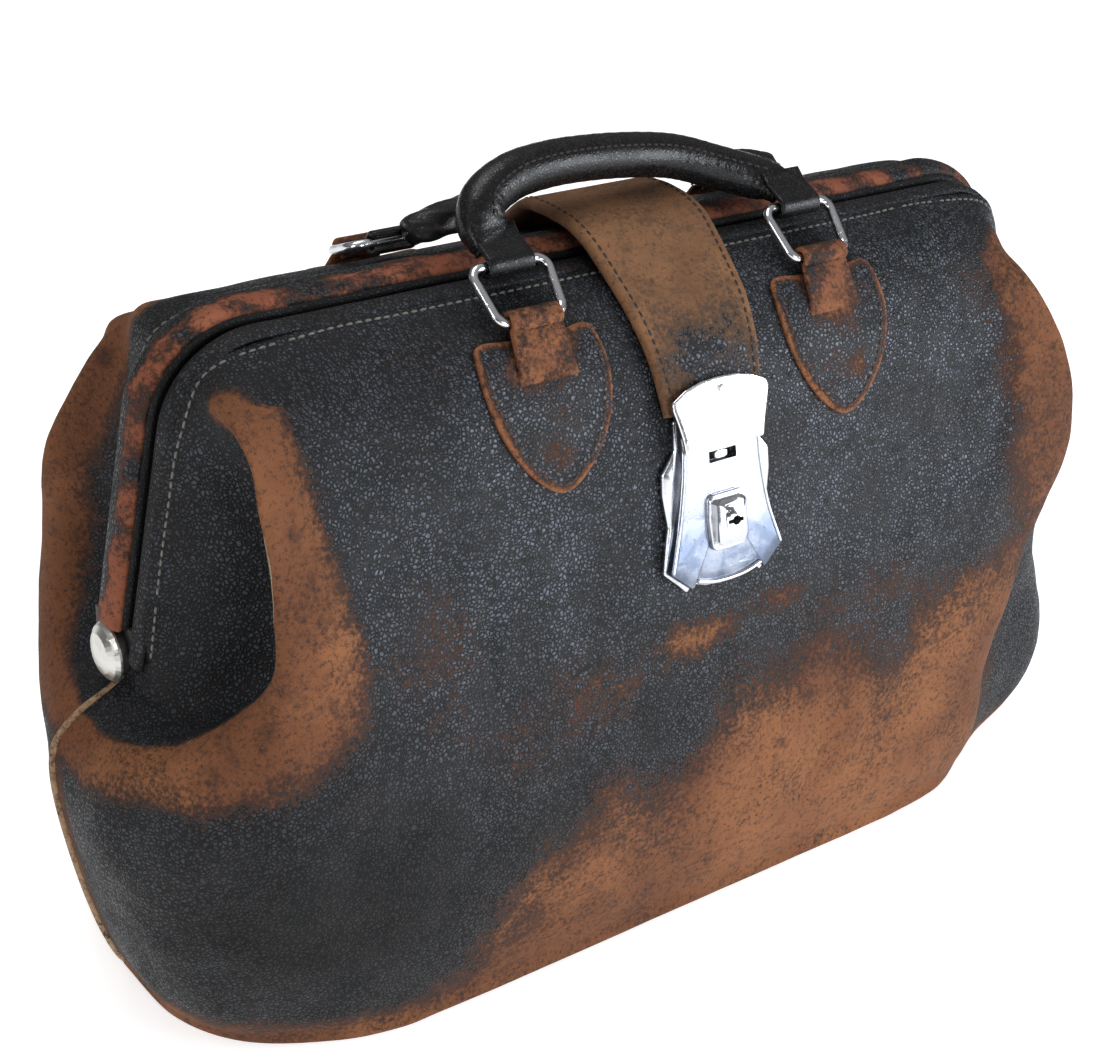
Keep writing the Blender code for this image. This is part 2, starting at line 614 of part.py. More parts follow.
def build():
    clear_scene()
    lower_leather()
    steel_jaw("front_steel_jaw", FRONT_LAYER, FRONT_BAR_Y)
    steel_jaw("rear_steel_jaw", REAR_LAYER, REAR_BAR_Y)
    frame_covers()
    upper_leather("front_upper_leather", FRONT_PANEL, -1.0, -FRONT_PANEL[0][0])
    upper_leather("rear_upper_leather", REAR_PANEL, 1.0, REAR_PANEL[0][0])
    strap()
    hasp()
    lock()
    handle()
    rear_bar = (-FRONT_LOW_BAR[0], FRONT_LOW_BAR[1])
    for side, sign in (("left", -1.0), ("right", 1.0)):
        end_welt(side, sign)
        pivot_rivet(side, sign)
        wire_ring("front_ring_" + side, sign * FRONT_RING_X, FRONT_LOW_BAR, FRONT_RING_LEAN)
        shield("front_shield_" + side, sign * FRONT_RING_X, FRONT_PANEL, -1.0, FRONT_LOW_BAR)
        wire_ring("rear_ring_" + side, sign * REAR_RING_X, rear_bar, REAR_RING_LEAN)
        shield("rear_shield_" + side, sign * REAR_RING_X, REAR_PANEL, 1.0, rear_bar)
        rear_stub(side, sign, rear_bar)


build()
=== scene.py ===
"""The looks of the worn leather doctor bag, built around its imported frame."""

import math

import bmesh
import bpy
import numpy as np
from mathutils import Matrix, Vector


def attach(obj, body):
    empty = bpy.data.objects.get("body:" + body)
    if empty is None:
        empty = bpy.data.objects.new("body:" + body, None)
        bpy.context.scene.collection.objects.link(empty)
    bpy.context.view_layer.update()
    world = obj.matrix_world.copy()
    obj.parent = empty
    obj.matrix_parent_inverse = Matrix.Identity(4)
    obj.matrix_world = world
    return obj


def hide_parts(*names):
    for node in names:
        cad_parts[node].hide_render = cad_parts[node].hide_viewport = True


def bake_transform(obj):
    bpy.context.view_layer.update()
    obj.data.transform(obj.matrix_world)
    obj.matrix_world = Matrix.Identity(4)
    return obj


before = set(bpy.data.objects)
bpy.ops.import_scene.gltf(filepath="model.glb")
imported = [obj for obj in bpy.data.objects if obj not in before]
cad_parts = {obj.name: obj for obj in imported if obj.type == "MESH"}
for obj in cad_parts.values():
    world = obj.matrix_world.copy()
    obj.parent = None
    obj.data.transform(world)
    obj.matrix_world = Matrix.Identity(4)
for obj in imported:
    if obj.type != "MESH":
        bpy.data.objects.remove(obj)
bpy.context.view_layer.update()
MM = 0.001
rng = np.random.default_rng(7)


# ---------------------------------------------------------------- camera, light and floor
def add_camera():
    """Stands to the bag's front left, looking down on it."""
    azimuth, down, roll = math.radians(37.455), math.radians(29.832), math.radians(4.371)
    ahead = Vector((math.sin(azimuth) * math.cos(down), math.cos(azimuth) * math.cos(down),
                    -math.sin(down)))
    level = Vector((math.cos(azimuth), -math.sin(azimuth), 0.0))
    upright = level.cross(ahead)
    right = level * math.cos(roll) + upright * math.sin(roll)
    up = -level * math.sin(roll) + upright * math.cos(roll)
    data = bpy.data.cameras.new("camera")
    data.lens = 63.8
    data.sensor_width = 36.0
    camera = bpy.data.objects.new("camera", data)
    turn = Matrix((right, up, -ahead)).transposed().to_4x4()
    camera.matrix_world = Matrix.Translation((-0.43175, -0.53729, 0.53156)) @ turn
    bpy.context.collection.objects.link(camera)
    bpy.context.scene.camera = camera


def add_area(name, place, target, size, power, tint=(1.0, 1.0, 1.0)):
    data = bpy.data.lights.new(name, "AREA")
    data.shape = "RECTANGLE"
    data.size, data.size_y = size
    data.energy = power
    data.color = tint
    lamp = bpy.data.objects.new(name, data)
    lamp.location = place
    lamp.rotation_euler = (Vector(target) - Vector(place)).to_track_quat("-Z", "Y").to_euler()
    bpy.context.collection.objects.link(lamp)


def add_studio():
    """White sweep; the world lights the bag softly from above and leaves the camera side dark."""
    world = bpy.data.worlds.new("studio")
    world.use_nodes = True
    tree = world.node_tree
    new = tree.nodes.new
    background = tree.nodes["Background"]
    background.inputs["Strength"].default_value = 1.0
    coordinate = new("ShaderNodeTexCoord")
    split = new("ShaderNodeSeparateXYZ")
    tree.links.new(coordinate.outputs["Generated"], split.inputs[0])
    ramp = new("ShaderNodeValToRGB")
    tree.links.new(split.outputs["Z"], ramp.inputs[0])
    ramp.color_ramp.elements[0].position = 0.0
    ramp.color_ramp.elements[0].color = (0.07, 0.07, 0.075, 1.0)
    ramp.color_ramp.elements[1].position = 0.9
    ramp.color_ramp.elements[1].color = (0.38, 0.38, 0.38, 1.0)
    paths = new("ShaderNodeLightPath")
    choose = new("ShaderNodeMix")
    choose.data_type = "RGBA"
    tree.links.new(paths.outputs["Is Camera Ray"], choose.inputs[0])
    tree.links.new(ramp.outputs[0], choose.inputs[6])
    choose.inputs[7].default_value = (1.0, 1.0, 1.0, 1.0)
    tree.links.new(choose.outputs[2], background.inputs["Color"])
    bpy.context.scene.world = world
    bpy.context.scene.view_settings.view_transform = "Standard"
    add_area("key", (1.35, -1.55, 0.64), (0.05, -0.05, 0.17), (1.3, 1.15), 40.0, (0.90, 0.94, 1.0))
    add_area("top", (-0.2, 0.5, 1.7), (0.0, 0.0, 0.2), (1.2, 0.8), 11.0)
    add_area("left", (-1.6, -0.5, 0.8), (-0.1, -0.05, 0.12), (0.5, 0.8), 7.0)
    add_area("front", (-0.25, -1.8, 0.55), (-0.1, -0.05, 0.15), (0.5, 0.9), 9.0, (0.93, 0.96, 1.0))
    mesh = bpy.data.meshes.new("floor")
    mesh.from_pydata([(-6, -6, 0), (6, -6, 0), (6, 6, 0), (-6, 6, 0)], [], [(0, 1, 2, 3)])
    floor = bpy.data.objects.new("floor", mesh)
    bpy.context.collection.objects.link(floor)
    material = bpy.data.materials.new("floor")
    material.use_nodes = True
    shader = material.node_tree.nodes["Principled BSDF"]
    shader.inputs["Base Color"].default_value = (0.80, 0.80, 0.80, 1.0)
    shader.inputs["Roughness"].default_value = 0.9
    shader.inputs["Specular IOR Level"].default_value = 0.1
    shader.inputs["Emission Color"].default_value = (1.0, 1.0, 1.0, 1.0)
    shader.inputs["Emission Strength"].default_value = 0.62
    mesh.materials.append(material)


# ---------------------------------------------------------------- node helpers
class Nodes:
    """Short forms for building a material's node tree."""

    def __init__(self, name):
        self.material = bpy.data.materials.new(name)
        self.material.use_nodes = True
        self.tree = self.material.node_tree
        self.shader = self.tree.nodes["Principled BSDF"]
        self.place = self.new("ShaderNodeTexCoord").outputs["Object"]

    def new(self, kind, **settings):
        node = self.tree.nodes.new(kind)
        for key, value in settings.items():
            setattr(node, key, value)
        return node

    def put(self, socket, value):
        if isinstance(value, bpy.types.NodeSocket):
            self.tree.links.new(value, socket)
        elif isinstance(value, tuple) and len(value) == 3 and socket.type == "RGBA":
            socket.default_value = (*value, 1.0)
        else:
            socket.default_value = value

    def noise(self, scale, detail=4.0, rough=0.55, stretch=None, distortion=0.0):
        node = self.new("ShaderNodeTexNoise")
        node.inputs["Scale"].default_value = scale
        node.inputs["Detail"].default_value = detail
        node.inputs["Roughness"].default_value = rough
        node.inputs["Distortion"].default_value = distortion
        self.put(node.inputs["Vector"], self.stretched(stretch) if stretch else self.place)
        return node.outputs["Fac"]

    def stretched(self, stretch):
        node = self.new("ShaderNodeMapping")
        node.inputs["Scale"].default_value = stretch
        self.put(node.inputs["Vector"], self.place)
        return node.outputs["Vector"]

    def cells(self, scale, feature="DISTANCE_TO_EDGE", source=None):
        node = self.new("ShaderNodeTexVoronoi", feature=feature)
        node.inputs["Scale"].default_value = scale
        self.put(node.inputs["Vector"], source or self.place)
        return node.outputs["Distance"]

    def math(self, kind, a, b=0.0, c=0.0):
        node = self.new("ShaderNodeMath", operation=kind)
        for socket, value in zip(node.inputs, (a, b, c)):
            self.put(socket, value)
        return node.outputs[0]

    def step(self, value, low, high, to_low=0.0, to_high=1.0):
        node = self.new("ShaderNodeMapRange", interpolation_type="SMOOTHSTEP")
        names = ("Value", "From Min", "From Max", "To Min", "To Max")
        for key, item in zip(names, (value, low, high, to_low, to_high)):
            self.put(node.inputs[key], item)
        return node.outputs["Result"]

    def mix(self, share, a, b):
        node = self.new("ShaderNodeMix", data_type="RGBA")
        self.put(node.inputs[0], share)
        self.put(node.inputs[6], a)
        self.put(node.inputs[7], b)
        return node.outputs[2]

    def attribute(self, name):
        return self.new("ShaderNodeAttribute", attribute_name=name).outputs["Fac"]

    def bump(self, height, distance, strength=1.0, under=None):
        node = self.new("ShaderNodeBump")
        node.inputs["Strength"].default_value = strength
        node.inputs["Distance"].default_value = distance
        self.put(node.inputs["Height"], height)
        if under is not None:
            self.put(node.inputs["Normal"], under)
        return node.outputs["Normal"]

    def finish(self, **sockets):
        for key, value in sockets.items():
            self.put(self.shader.inputs[key.replace("_", " ")], value)
        return self.material


def leather_material(name, brown=(0.135, 0.048, 0.018), pale=(0.225, 0.088, 0.033),
                     dark_brown=(0.032, 0.014, 0.009), black=(0.006, 0.006, 0.007),
                     grain=640.0, worn=0.0, pebble=0.00026, shine=0.50,
                     painted_glint_color=(0.098, 0.112, 0.142)):
    """Pebbled black leather, rubbed through to brown suede where the wear attribute is high, with highlights
    painted on the pebble tops in glossy areas and shade painted into the grain's cracks.
    """
    n = Nodes(name)
    wear = n.math("ADD", n.attribute("wear"), worn)
    blotch = n.math("SUBTRACT", n.noise(24.0, 5.0, 0.60), 0.5)
    streak = n.math("SUBTRACT", n.noise(85.0, 4.0, 0.65), 0.5)
    speck = n.math("SUBTRACT", n.noise(560.0, 3.0, 0.7), 0.5)
    level = n.math("ADD", wear, n.math("MULTIPLY", blotch, 0.85))
    level = n.math("ADD", level, n.math("MULTIPLY", streak, 0.60))
    level = n.math("ADD", level, n.math("MULTIPLY", speck, 1.25))
    rubbed = n.step(level, 0.38, 0.58)
    deep = n.step(level, 0.52, 1.02)
    warped = n.new("ShaderNodeVectorMath", operation="ADD")
    wobble = n.new("ShaderNodeTexNoise")
    wobble.inputs["Scale"].default_value = 300.0
    n.put(wobble.inputs["Vector"], n.place)
    shift = n.new("ShaderNodeVectorMath", operation="SCALE")
    n.put(shift.inputs[0], wobble.outputs["Color"])
    shift.inputs["Scale"].default_value = 0.0022
    n.put(warped.inputs[0], n.place)
    n.put(warped.inputs[1], shift.outputs[0])
    cells = n.cells(grain, source=warped.outputs[0])
    pits = n.step(cells, 0.02, 0.34)
    tone = n.noise(14.0, 4.0, 0.6)
    suede = n.mix(n.step(tone, 0.40, 0.66), brown, pale)
    suede = n.mix(deep, dark_brown, suede)
    fleck = n.step(n.noise(480.0, 4.0, 0.75), 0.51, 0.68, 0.0, 0.85)
    suede = n.mix(fleck, suede, dark_brown)
    mottle = n.step(n.noise(110.0, 5.0, 0.7), 0.50, 0.74, 0.0, 0.70)
    suede = n.mix(mottle, suede, dark_brown)
    char = n.mix(n.step(n.noise(60.0, 4.0, 0.6), 0.45, 0.75, 0.0, 0.6), black, (0.017, 0.016, 0.016))
    # Painted highlight: these lines pick the pebble tops in glossy areas, which are then painted in a bright
    # bluish glint colour; the gloss also lowers the roughness.
    gloss_and_painted_highlight = n.attribute("gloss_and_painted_highlight")
    painted_glint_mask = n.step(n.noise(grain * 0.55, 3.0, 0.7), 0.33, 0.58)
    painted_glint_mask = n.math("MULTIPLY", painted_glint_mask, n.step(n.noise(38.0, 4.0, 0.65), 0.34, 0.62, 0.35, 1.0))
    painted_glint_mask = n.math("MULTIPLY", n.math("MULTIPLY", painted_glint_mask, gloss_and_painted_highlight), n.step(cells, 0.07, 0.26))
    # Painted shade: the grain's cracks between the pebbles are painted near-black.
    char = n.mix(n.step(pits, 0.0, 0.6, 0.0, 0.85), (0.0022, 0.0022, 0.0024), char)
    char = n.mix(painted_glint_mask, char, painted_glint_color)
    color = n.mix(rubbed, char, suede)
    rough = n.math("SUBTRACT", shine, n.math("MULTIPLY", gloss_and_painted_highlight, 0.27))
    patches = n.math("MULTIPLY", n.math("SUBTRACT", n.noise(45.0, 4.0, 0.6), 0.5), 0.55)
    rough = n.math("ADD", rough, patches)
    rough = n.math("ADD", rough, n.step(pits, 0.0, 1.0, 0.30, 0.0))
    rough = n.math("MAXIMUM", rough, n.math("MULTIPLY", rubbed, 0.80))
    fuzz = n.math("MULTIPLY", n.noise(1100.0, 2.0, 0.7), n.step(rubbed, 0.0, 1.0, 0.10, 0.9))
    height = n.math("ADD", n.math("MULTIPLY", pits, n.step(rubbed, 0.0, 1.0, 1.0, 0.35)), fuzz)
    folds = n.bump(n.noise(34.0, 3.0, 0.55), 0.0022, 0.35)
    normal = n.bump(height, pebble, 1.0, folds)
    n.shader.inputs["Specular IOR Level"].default_value = 0.27
    return n.finish(Base_Color=color, Roughness=rough, Normal=normal)


def lining_material():
    """Plain tan cloth with a fine weave."""
    n = Nodes("lining")
    weave = n.new("ShaderNodeTexWave", bands_direction="X")
    weave.inputs["Scale"].default_value = 420.0
    n.put(weave.inputs["Vector"], n.place)
    color = n.mix(n.noise(30.0), (0.16, 0.11, 0.065), (0.26, 0.19, 0.12))
    return n.finish(Base_Color=color, Roughness=0.92, Normal=n.bump(weave.outputs["Fac"], 0.0002))


def metal_material(name, base=(0.74, 0.74, 0.76), rough=0.09, scratches=0.5, dull=(0.36, 0.35, 0.33),
                   shaded=None):
    """Nickel plate with scratches, smears and darker tarnish, and, when a shaded colour is given, painted
    shade on the part low on the panel.
    """
    n = Nodes(name)
    line = n.step(n.noise(60.0, 2.0, 0.5, stretch=(1.0, 14.0, 3.0)), 0.62, 0.70)
    cross = n.step(n.noise(48.0, 2.0, 0.5, stretch=(12.0, 1.5, 10.0)), 0.63, 0.70)
    marks = n.math("MAXIMUM", line, cross)
    smear = n.noise(38.0, 5.0, 0.6)
    tarnish = n.step(n.noise(130.0, 5.0, 0.7), 0.56, 0.78)
    color = n.mix(n.math("MULTIPLY", tarnish, scratches), base, dull)
    # Painted shade: the lower part of the piece is painted a darker bluish colour, broken into patches.
    if shaded:
        patches = n.step(n.noise(70.0, 4.0, 0.65), 0.34, 0.60, 0.55, 1.0)
        painted_shade_mask = n.math("MULTIPLY", n.attribute("low"), patches)
        color = n.mix(painted_shade_mask, color, shaded)
    low = n.step(smear, 0.3, 0.7, rough, rough + 0.14)
    roughness = n.math("ADD", low, n.math("MULTIPLY", marks, 0.22 * scratches))
    height = n.math("SUBTRACT", n.math("MULTIPLY", smear, 0.6), n.math("MULTIPLY", marks, 0.35))
    n.shader.inputs["Metallic"].default_value = 1.0
    return n.finish(Base_Color=color, Roughness=roughness, Normal=n.bump(height, 0.00018, 0.5))


def thread_material(name, color, dark):
    n = Nodes(name)
    twist = n.new("ShaderNodeTexWave", bands_direction="DIAGONAL")
    twist.inputs["Scale"].default_value = 900.0
    n.put(twist.inputs["Vector"], n.place)
    tint = n.mix(n.noise(160.0, 4.0, 0.7), dark, color)
    return n.finish(Base_Color=tint, Roughness=0.85, Normal=n.bump(twist.outputs["Fac"], 0.0002))


# ---------------------------------------------------------------- mesh helpers
def hermite(points, u):
    """Catmull-Rom curve through rows of points, at share u of the way along (an array)."""
    points = np.asarray(points, float)
    last = len(points) - 1
    x = np.clip(u, 0.0, 1.0) * last
    k = np.minimum(x.astype(int), last - 1)
    t = (x - k).reshape(-1, *([1] * (points.ndim - 1)))
    a = points[np.maximum(k - 1, 0)]
    b, c = points[k], points[k + 1]
    d = points[np.minimum(k + 2, last)]
    return 0.5 * (2 * b + (c - a) * t + (2 * a - 5 * b + 4 * c - d) * t ** 2
                  + (3 * b - a - 3 * c + d) * t ** 3)


def surface(control, u, v):
    """Points of a Catmull-Rom sheet at arrays u (across the columns) and v (down the rows)."""
    return hermite(np.swapaxes(hermite(control, u), 0, 1), v).swapaxes(0, 1)


def mesh_object(name, verts, faces, material=None, smooth=True):
    mesh = bpy.data.meshes.new(name)
    mesh.from_pydata([tuple(v) for v in verts], [], faces)
    mesh.update()
    if smooth:
        mesh.shade_smooth()
    obj = bpy.data.objects.new(name, mesh)
    bpy.context.collection.objects.link(obj)
    if material is not None:
        mesh.materials.append(material)
    return obj


def grid_faces(rows, cols, close_rows=False, close_cols=False):
    faces = []
    for i in range(rows if close_rows else rows - 1):
        for j in range(cols if close_cols else cols - 1):
            i1, j1 = (i + 1) % rows, (j + 1) % cols
            faces.append((i * cols + j, i1 * cols + j, i1 * cols + j1, i * cols + j1))
    return faces


def sections_object(name, sections, material, loop=False):
    """A closed body through equal closed sections."""
    rows, cols = len(sections), len(sections[0])
    verts = [tuple(p) for section in sections for p in section]
    faces = grid_faces(rows, cols, close_rows=loop, close_cols=True)
    if not loop:
        faces.append(tuple(range(cols)))
        faces.append(tuple(reversed(range((rows - 1) * cols, rows * cols))))
    obj = mesh_object(name, verts, faces, material)
    fix_normals(obj)
    return obj


def fix_normals(obj):
    work = bmesh.new()
    work.from_mesh(obj.data)
    bmesh.ops.recalc_face_normals(work, faces=work.faces)
    work.to_mesh(obj.data)
    work.free()


def apply_modifiers(obj):
    depsgraph = bpy.context.evaluated_depsgraph_get()
    mesh = bpy.data.meshes.new_from_object(obj.evaluated_get(depsgraph), depsgraph=depsgraph)
    obj.modifiers.clear()
    obj.data = mesh


def set_attribute(obj, name, values):
    attribute = obj.data.attributes.get(name) or obj.data.attributes.new(name, "FLOAT", "POINT")
    attribute.data.foreach_set("value", np.asarray(values, np.float32).ravel())


def turn(steps):
    """Even angles once round."""
    return np.linspace(0, 2 * math.pi, steps + 1)[:-1]


def settle(obj, slot, body, *nodes):
    """Hides the CAD nodes a piece stands for and hangs the piece on the body it rides on. The slot argument
    is not used.
    """
    if nodes:
        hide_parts(*nodes)
    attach(obj, body)


def finish_look(obj, wear, gloss_and_painted_highlight):
    """The two attributes that the leather material reads: the wear, and the gloss, which also places the
    painted highlights.
    """
    set_attribute(obj, "wear", np.broadcast_to(wear, len(obj.data.vertices)))
    set_attribute(obj, "gloss_and_painted_highlight", np.broadcast_to(gloss_and_painted_highlight, len(obj.data.vertices)))


def coordinates(obj):
    co = np.empty(len(obj.data.vertices) * 3)
    obj.data.vertices.foreach_get("co", co)
    return co.reshape(-1, 3)


def spot(co, centre, reach):
    """Soft bump of 1 at centre, falling off over reach (one value for each axis)."""
    d = (co - np.array(centre) * MM) / (np.array(reach) * MM)
    return np.exp(-(d ** 2).sum(axis=1))


def line_distance(co, line):
    """Distance in millimetres from each point to a polyline given in millimetres."""
    line = np.asarray(line, float) * MM
    best = np.full(len(co), 1e9)
    for a, b in zip(line, line[1:]):
        ab = b - a
        t = np.clip(((co - a) @ ab) / (ab @ ab), 0.0, 1.0)
        best = np.minimum(best, np.linalg.norm(co - a - t[:, None] * ab, axis=1))
    return best / MM


def distances(points):
    """Distance along a polyline to each of its points."""
    return np.r_[0.0, np.cumsum(np.linalg.norm(np.diff(points, axis=0), axis=1))]


def frames_along(points):
    """Tangents of a polyline."""
    points = np.asarray(points, float)
    tangent = np.gradient(points, axis=0)
    return tangent / np.linalg.norm(tangent, axis=1, keepdims=True)


def joined(name, parts, material):
    """One object out of (verts, faces) lists."""
    verts, faces = [], []
    for part_verts, part_faces in parts:
        base = len(verts)
        verts += [tuple(v) for v in part_verts]
        faces += [tuple(base + k for k in face) for face in part_faces]
    obj = mesh_object(name, verts, faces, material)
    fix_normals(obj)
    return obj


def capsule(start, end, normal, width, height):
    """A stitch: a short rounded bar from start to end that stands on the surface."""
    start, end, normal = Vector(start), Vector(end), Vector(normal).normalized()
    along = end - start
    across = along.cross(normal).normalized()
    rows = []
    for t, swell in ((0.0, 0.25), (0.12, 0.75), (0.35, 1.0), (0.65, 1.0), (0.88, 0.75), (1.0, 0.25)):
        centre = start + along * t - normal * height * (0.55 - 0.55 * swell)
        rows.append([centre + across * (width / 2 * swell * math.cos(a))
                     + normal * (height * swell * math.sin(a))
                     for a in turn(6)])
    verts = [p for row in rows for p in row]
    faces = grid_faces(len(rows), 6, close_cols=True)
    faces.append(tuple(range(6)))
    faces.append(tuple(reversed(range(len(verts) - 6, len(verts)))))
    return verts, faces


def stitch_row(name, points, normals, material, pitch=0.0034, width=0.0008, height=0.0004, share=0.72,
               missing=0.0):
    """Stitches at an even pitch along a dense line of points."""
    points, normals = np.asarray(points, float), np.asarray(normals, float)
    marks = distances(points)
    count = max(1, int(marks[-1] / pitch))
    parts = []
    for k in range(count):
        if rng.random() < missing:
            continue
        low, high = k * marks[-1] / count, (k + share) * marks[-1] / count
        pair = [[np.interp(s, marks, points[:, i]) for i in range(3)] for s in (low, high)]
        normal = [np.interp(low, marks, normals[:, i]) for i in range(3)]
        parts.append(capsule(pair[0], pair[1], normal, width, height))
    return joined(name, parts, material)


# ---------------------------------------------------------------- leather body
FRONT_PANEL = [
    (-19.2, 265.0), (-28.0, 262.6), (-38.0, 257.6), (-50.0, 246.0), (-58.5, 231.5),
    (-65.0, 214.0), (-72.0, 185.0), (-78.0, 165.0), (-82.6, 148.0), (-86.0, 130.0),
    (-88.3, 111.0), (-91.5, 72.0), (-90.0, 36.0), (-85.0, 12.0), (-77.0, 1.0), (-2.0, 0.6),
]

# Half the sheet: each column runs from the frame (or the end seam), through the pocket beside
# the leg, over its rim and down to the bottom. Millimetres, right side, front half.
END_COLUMNS = [
    [(201.5, -.4, 141), (203.5, -.4, 136.8), (210, -.4, 132.5), (220, -.4, 127), (228.5, -.4, 119.5),
     (231.3, -.4, 112.5), (231.9, -.4, 104), (231.3, -.4, 95), (230, -.4, 85), (228, -.4, 73),
     (225.5, -.4, 60), (221.5, -.4, 42), (216.5, -.4, 24), (210.5, -.4, 9), (203, -.4, 1),
     (150, -.4, .6)],
    [(201.5, -12, 146), (203.5, -15, 138.5), (209, -19, 134.5), (215, -23, 131.5),
     (220.5, -27, 127.5), (225.5, -31, 121), (228, -33, 112), (228.8, -34.5, 101),
     (228.3, -35.5, 89), (226.8, -36.3, 76), (224.5, -37, 62), (220, -37.5, 43), (214, -37, 25),
     (207, -35, 9.5), (199, -31, 1), (146, -2, .6)],
    [(204, -19.5, 158), (199, -26, 146), (194, -35, 140), (197, -45, 139), (203.5, -52, 141.5),
     (210.5, -57.5, 137.5), (213.5, -61, 128), (214.8, -63.3, 115), (214.8, -65, 101),
     (213.8, -66.2, 86), (211.5, -66.7, 69), (207, -66.5, 48), (200.5, -65, 27.5),
     (192.5, -60.5, 10.5), (183, -54, 1), (136, -2, .6)],
    [(202, -19.5, 182), (190, -30, 172), (172, -45, 160), (168, -58, 158), (182, -67, 167),
     (188.5, -73.5, 166), (190, -79, 153), (189.5, -82.5, 137), (187.5, -84.3, 120),
     (185.5, -85.5, 103), (183, -86.2, 83), (178, -85.5, 57), (171, -82.5, 32), (163.5, -77.5, 11.5),
     (155, -70, 1), (120, -2, .6)],
    [(197.5, -19.5, 212), (184, -32, 206), (165, -45, 200), (162, -58, 199), (178, -68, 202),
     (186, -74, 199), (182, -80, 187), (174.5, -84, 168), (166.5, -87.3, 148), (162.5, -88.8, 127),
     (158.5, -90.2, 103), (152, -91, 68), (145.5, -88.5, 36), (139.5, -83, 12), (133.5, -76, 1),
     (106, -2, .6)],
    [(191.5, -19.5, 239), (184, -31, 232), (173, -42, 228), (170, -52, 230), (182, -60, 238),
     (184.5, -66.5, 234), (173, -74, 213), (160.5, -80, 187), (151.5, -84, 161), (144.5, -87.3, 135),
     (138.5, -89.5, 108), (131.5, -91.5, 70), (126.5, -89.5, 36), (122, -84, 12), (117.5, -76.7, 1),
     (94, -2, .6)],
    [(178, -19.4, 259.7), (181, -26, 257.5), (185, -34, 256), (184.5, -42, 256), (181, -50, 252),
     (173, -57, 242), (158, -67, 215), (145, -75, 188), (134, -81, 162), (125.5, -86, 136),
     (118.5, -89, 108.5), (112, -92, 70.5), (107.5, -90, 36), (104, -84.5, 12), (100.5, -77, 1),
     (81, -2, .6)],
]
PANEL_X = [140, 140, 139, 137, 133, 127, 118, 111, 105, 100, 96, 92, 89, 86.5, 83.5, 68]

# At the front right the fold runs on down to the bottom, with the lobe bulging behind it.
RIGHT_FRONT = {
    1: {8: (232, -34, 90), 9: (237, -34, 75), 10: (240, -34, 57), 11: (239, -33, 38),
        12: (233, -31, 20), 13: (220, -29, 6), 14: (204, -25, 1)},
    2: {4: (203, -50, 141), 5: (207, -55, 136), 6: (209, -57, 127), 7: (210, -57, 115),
        8: (213, -56, 100), 9: (220, -56, 82), 10: (227, -57, 62), 11: (230, -57, 41),
        12: (226, -56, 22), 13: (213, -52, 7), 14: (194, -46, 1)},
    3: {3: (176, -58, 157), 4: (184, -67, 162), 5: (187, -73, 161), 6: (186, -74, 149),
        7: (182, -73, 136), 8: (178, -71, 120), 9: (175, -68, 103), 10: (174, -65, 83),
        11: (178, -67, 57), 12: (184, -69, 28), 13: (182, -67, 9), 14: (168, -60, 1)},
    4: {3: (170, -60, 199), 4: (180, -70, 202), 5: (186, -77, 199), 6: (188, -80.5, 184),
        7: (186, -82.5, 166), 8: (179, -84, 147), 9: (172, -85, 127), 10: (166, -86, 103),
        11: (158, -86, 68), 12: (156, -85, 34), 13: (154, -80, 10), 14: (143, -73, 1)},
    5: {1: (183, -29, 233), 2: (174, -40, 230), 3: (168, -51, 230), 4: (174, -61, 233),
        5: (173, -67, 227), 6: (166, -74, 208)},
    6: {1: (174, -26, 256), 2: (170, -34, 253), 3: (166, -42, 250), 4: (162, -50, 245),
        5: (157, -58, 236), 6: (150, -67, 214)},
}
# The rear half stands further out beside the legs.
REAR = {
    1: {2: (209, -20, 133), 3: (215, -25, 129), 4: (219.5, -30, 124), 5: (222, -33, 116),
        6: (222, -33, 108), 7: (221.5, -34, 98), 8: (221, -35, 88), 9: (220, -36, 76),
        10: (218, -37, 62), 11: (213.5, -37.5, 43), 12: (208, -37, 25)},
    2: {2: (197, -33, 140), 3: (203, -43, 138), 4: (208, -51, 137), 5: (211, -57, 130),
        6: (211, -60, 120), 7: (208, -62, 109), 8: (205, -64, 97), 9: (203, -65.5, 84),
        10: (201, -66, 68), 11: (197, -66, 48), 12: (191, -65, 27.5)},
    3: {2: (185, -40, 166), 3: (188, -53, 162), 4: (199, -63, 166), 5: (202, -70, 160),
        6: (202, -75, 149), 7: (199, -79, 135), 8: (194, -82, 118), 9: (188, -84.5, 102)},
    4: {2: (182, -40, 205), 3: (188, -52, 201), 4: (201, -61, 199), 5: (202, -68, 192),
        6: (196, -76, 178), 7: (186, -81, 161), 8: (175, -85, 143)},
    5: {2: (181, -35, 237), 3: (180, -45, 235), 4: (185, -52, 237), 5: (182, -60, 228),
        6: (172, -70, 206)},
    6: {1: (178, -25, 259.5), 2: (177, -31, 258.5), 3: (174, -38, 257), 4: (168, -45, 252)},
}
# The row of each column's rim, from the end seam inwards.
CREST_ROWS = (3.3, 4.1, 4.5, 4.9, 5.0, 4.6, 3.4, 2.6)


def columns(changes):
    """Control columns of one side, from the end seam to the middle."""
    side = [list(column) for column in END_COLUMNS]
    for k, rows in changes.items():
        for row, point in rows.items():
            side[k][row] = point
    for share in (1.0, 0.75, 0.5, 0.25):
        side.append([(x * share, y, z) for x, (y, z) in zip(PANEL_X, FRONT_PANEL)])
    return np.array(side, float)


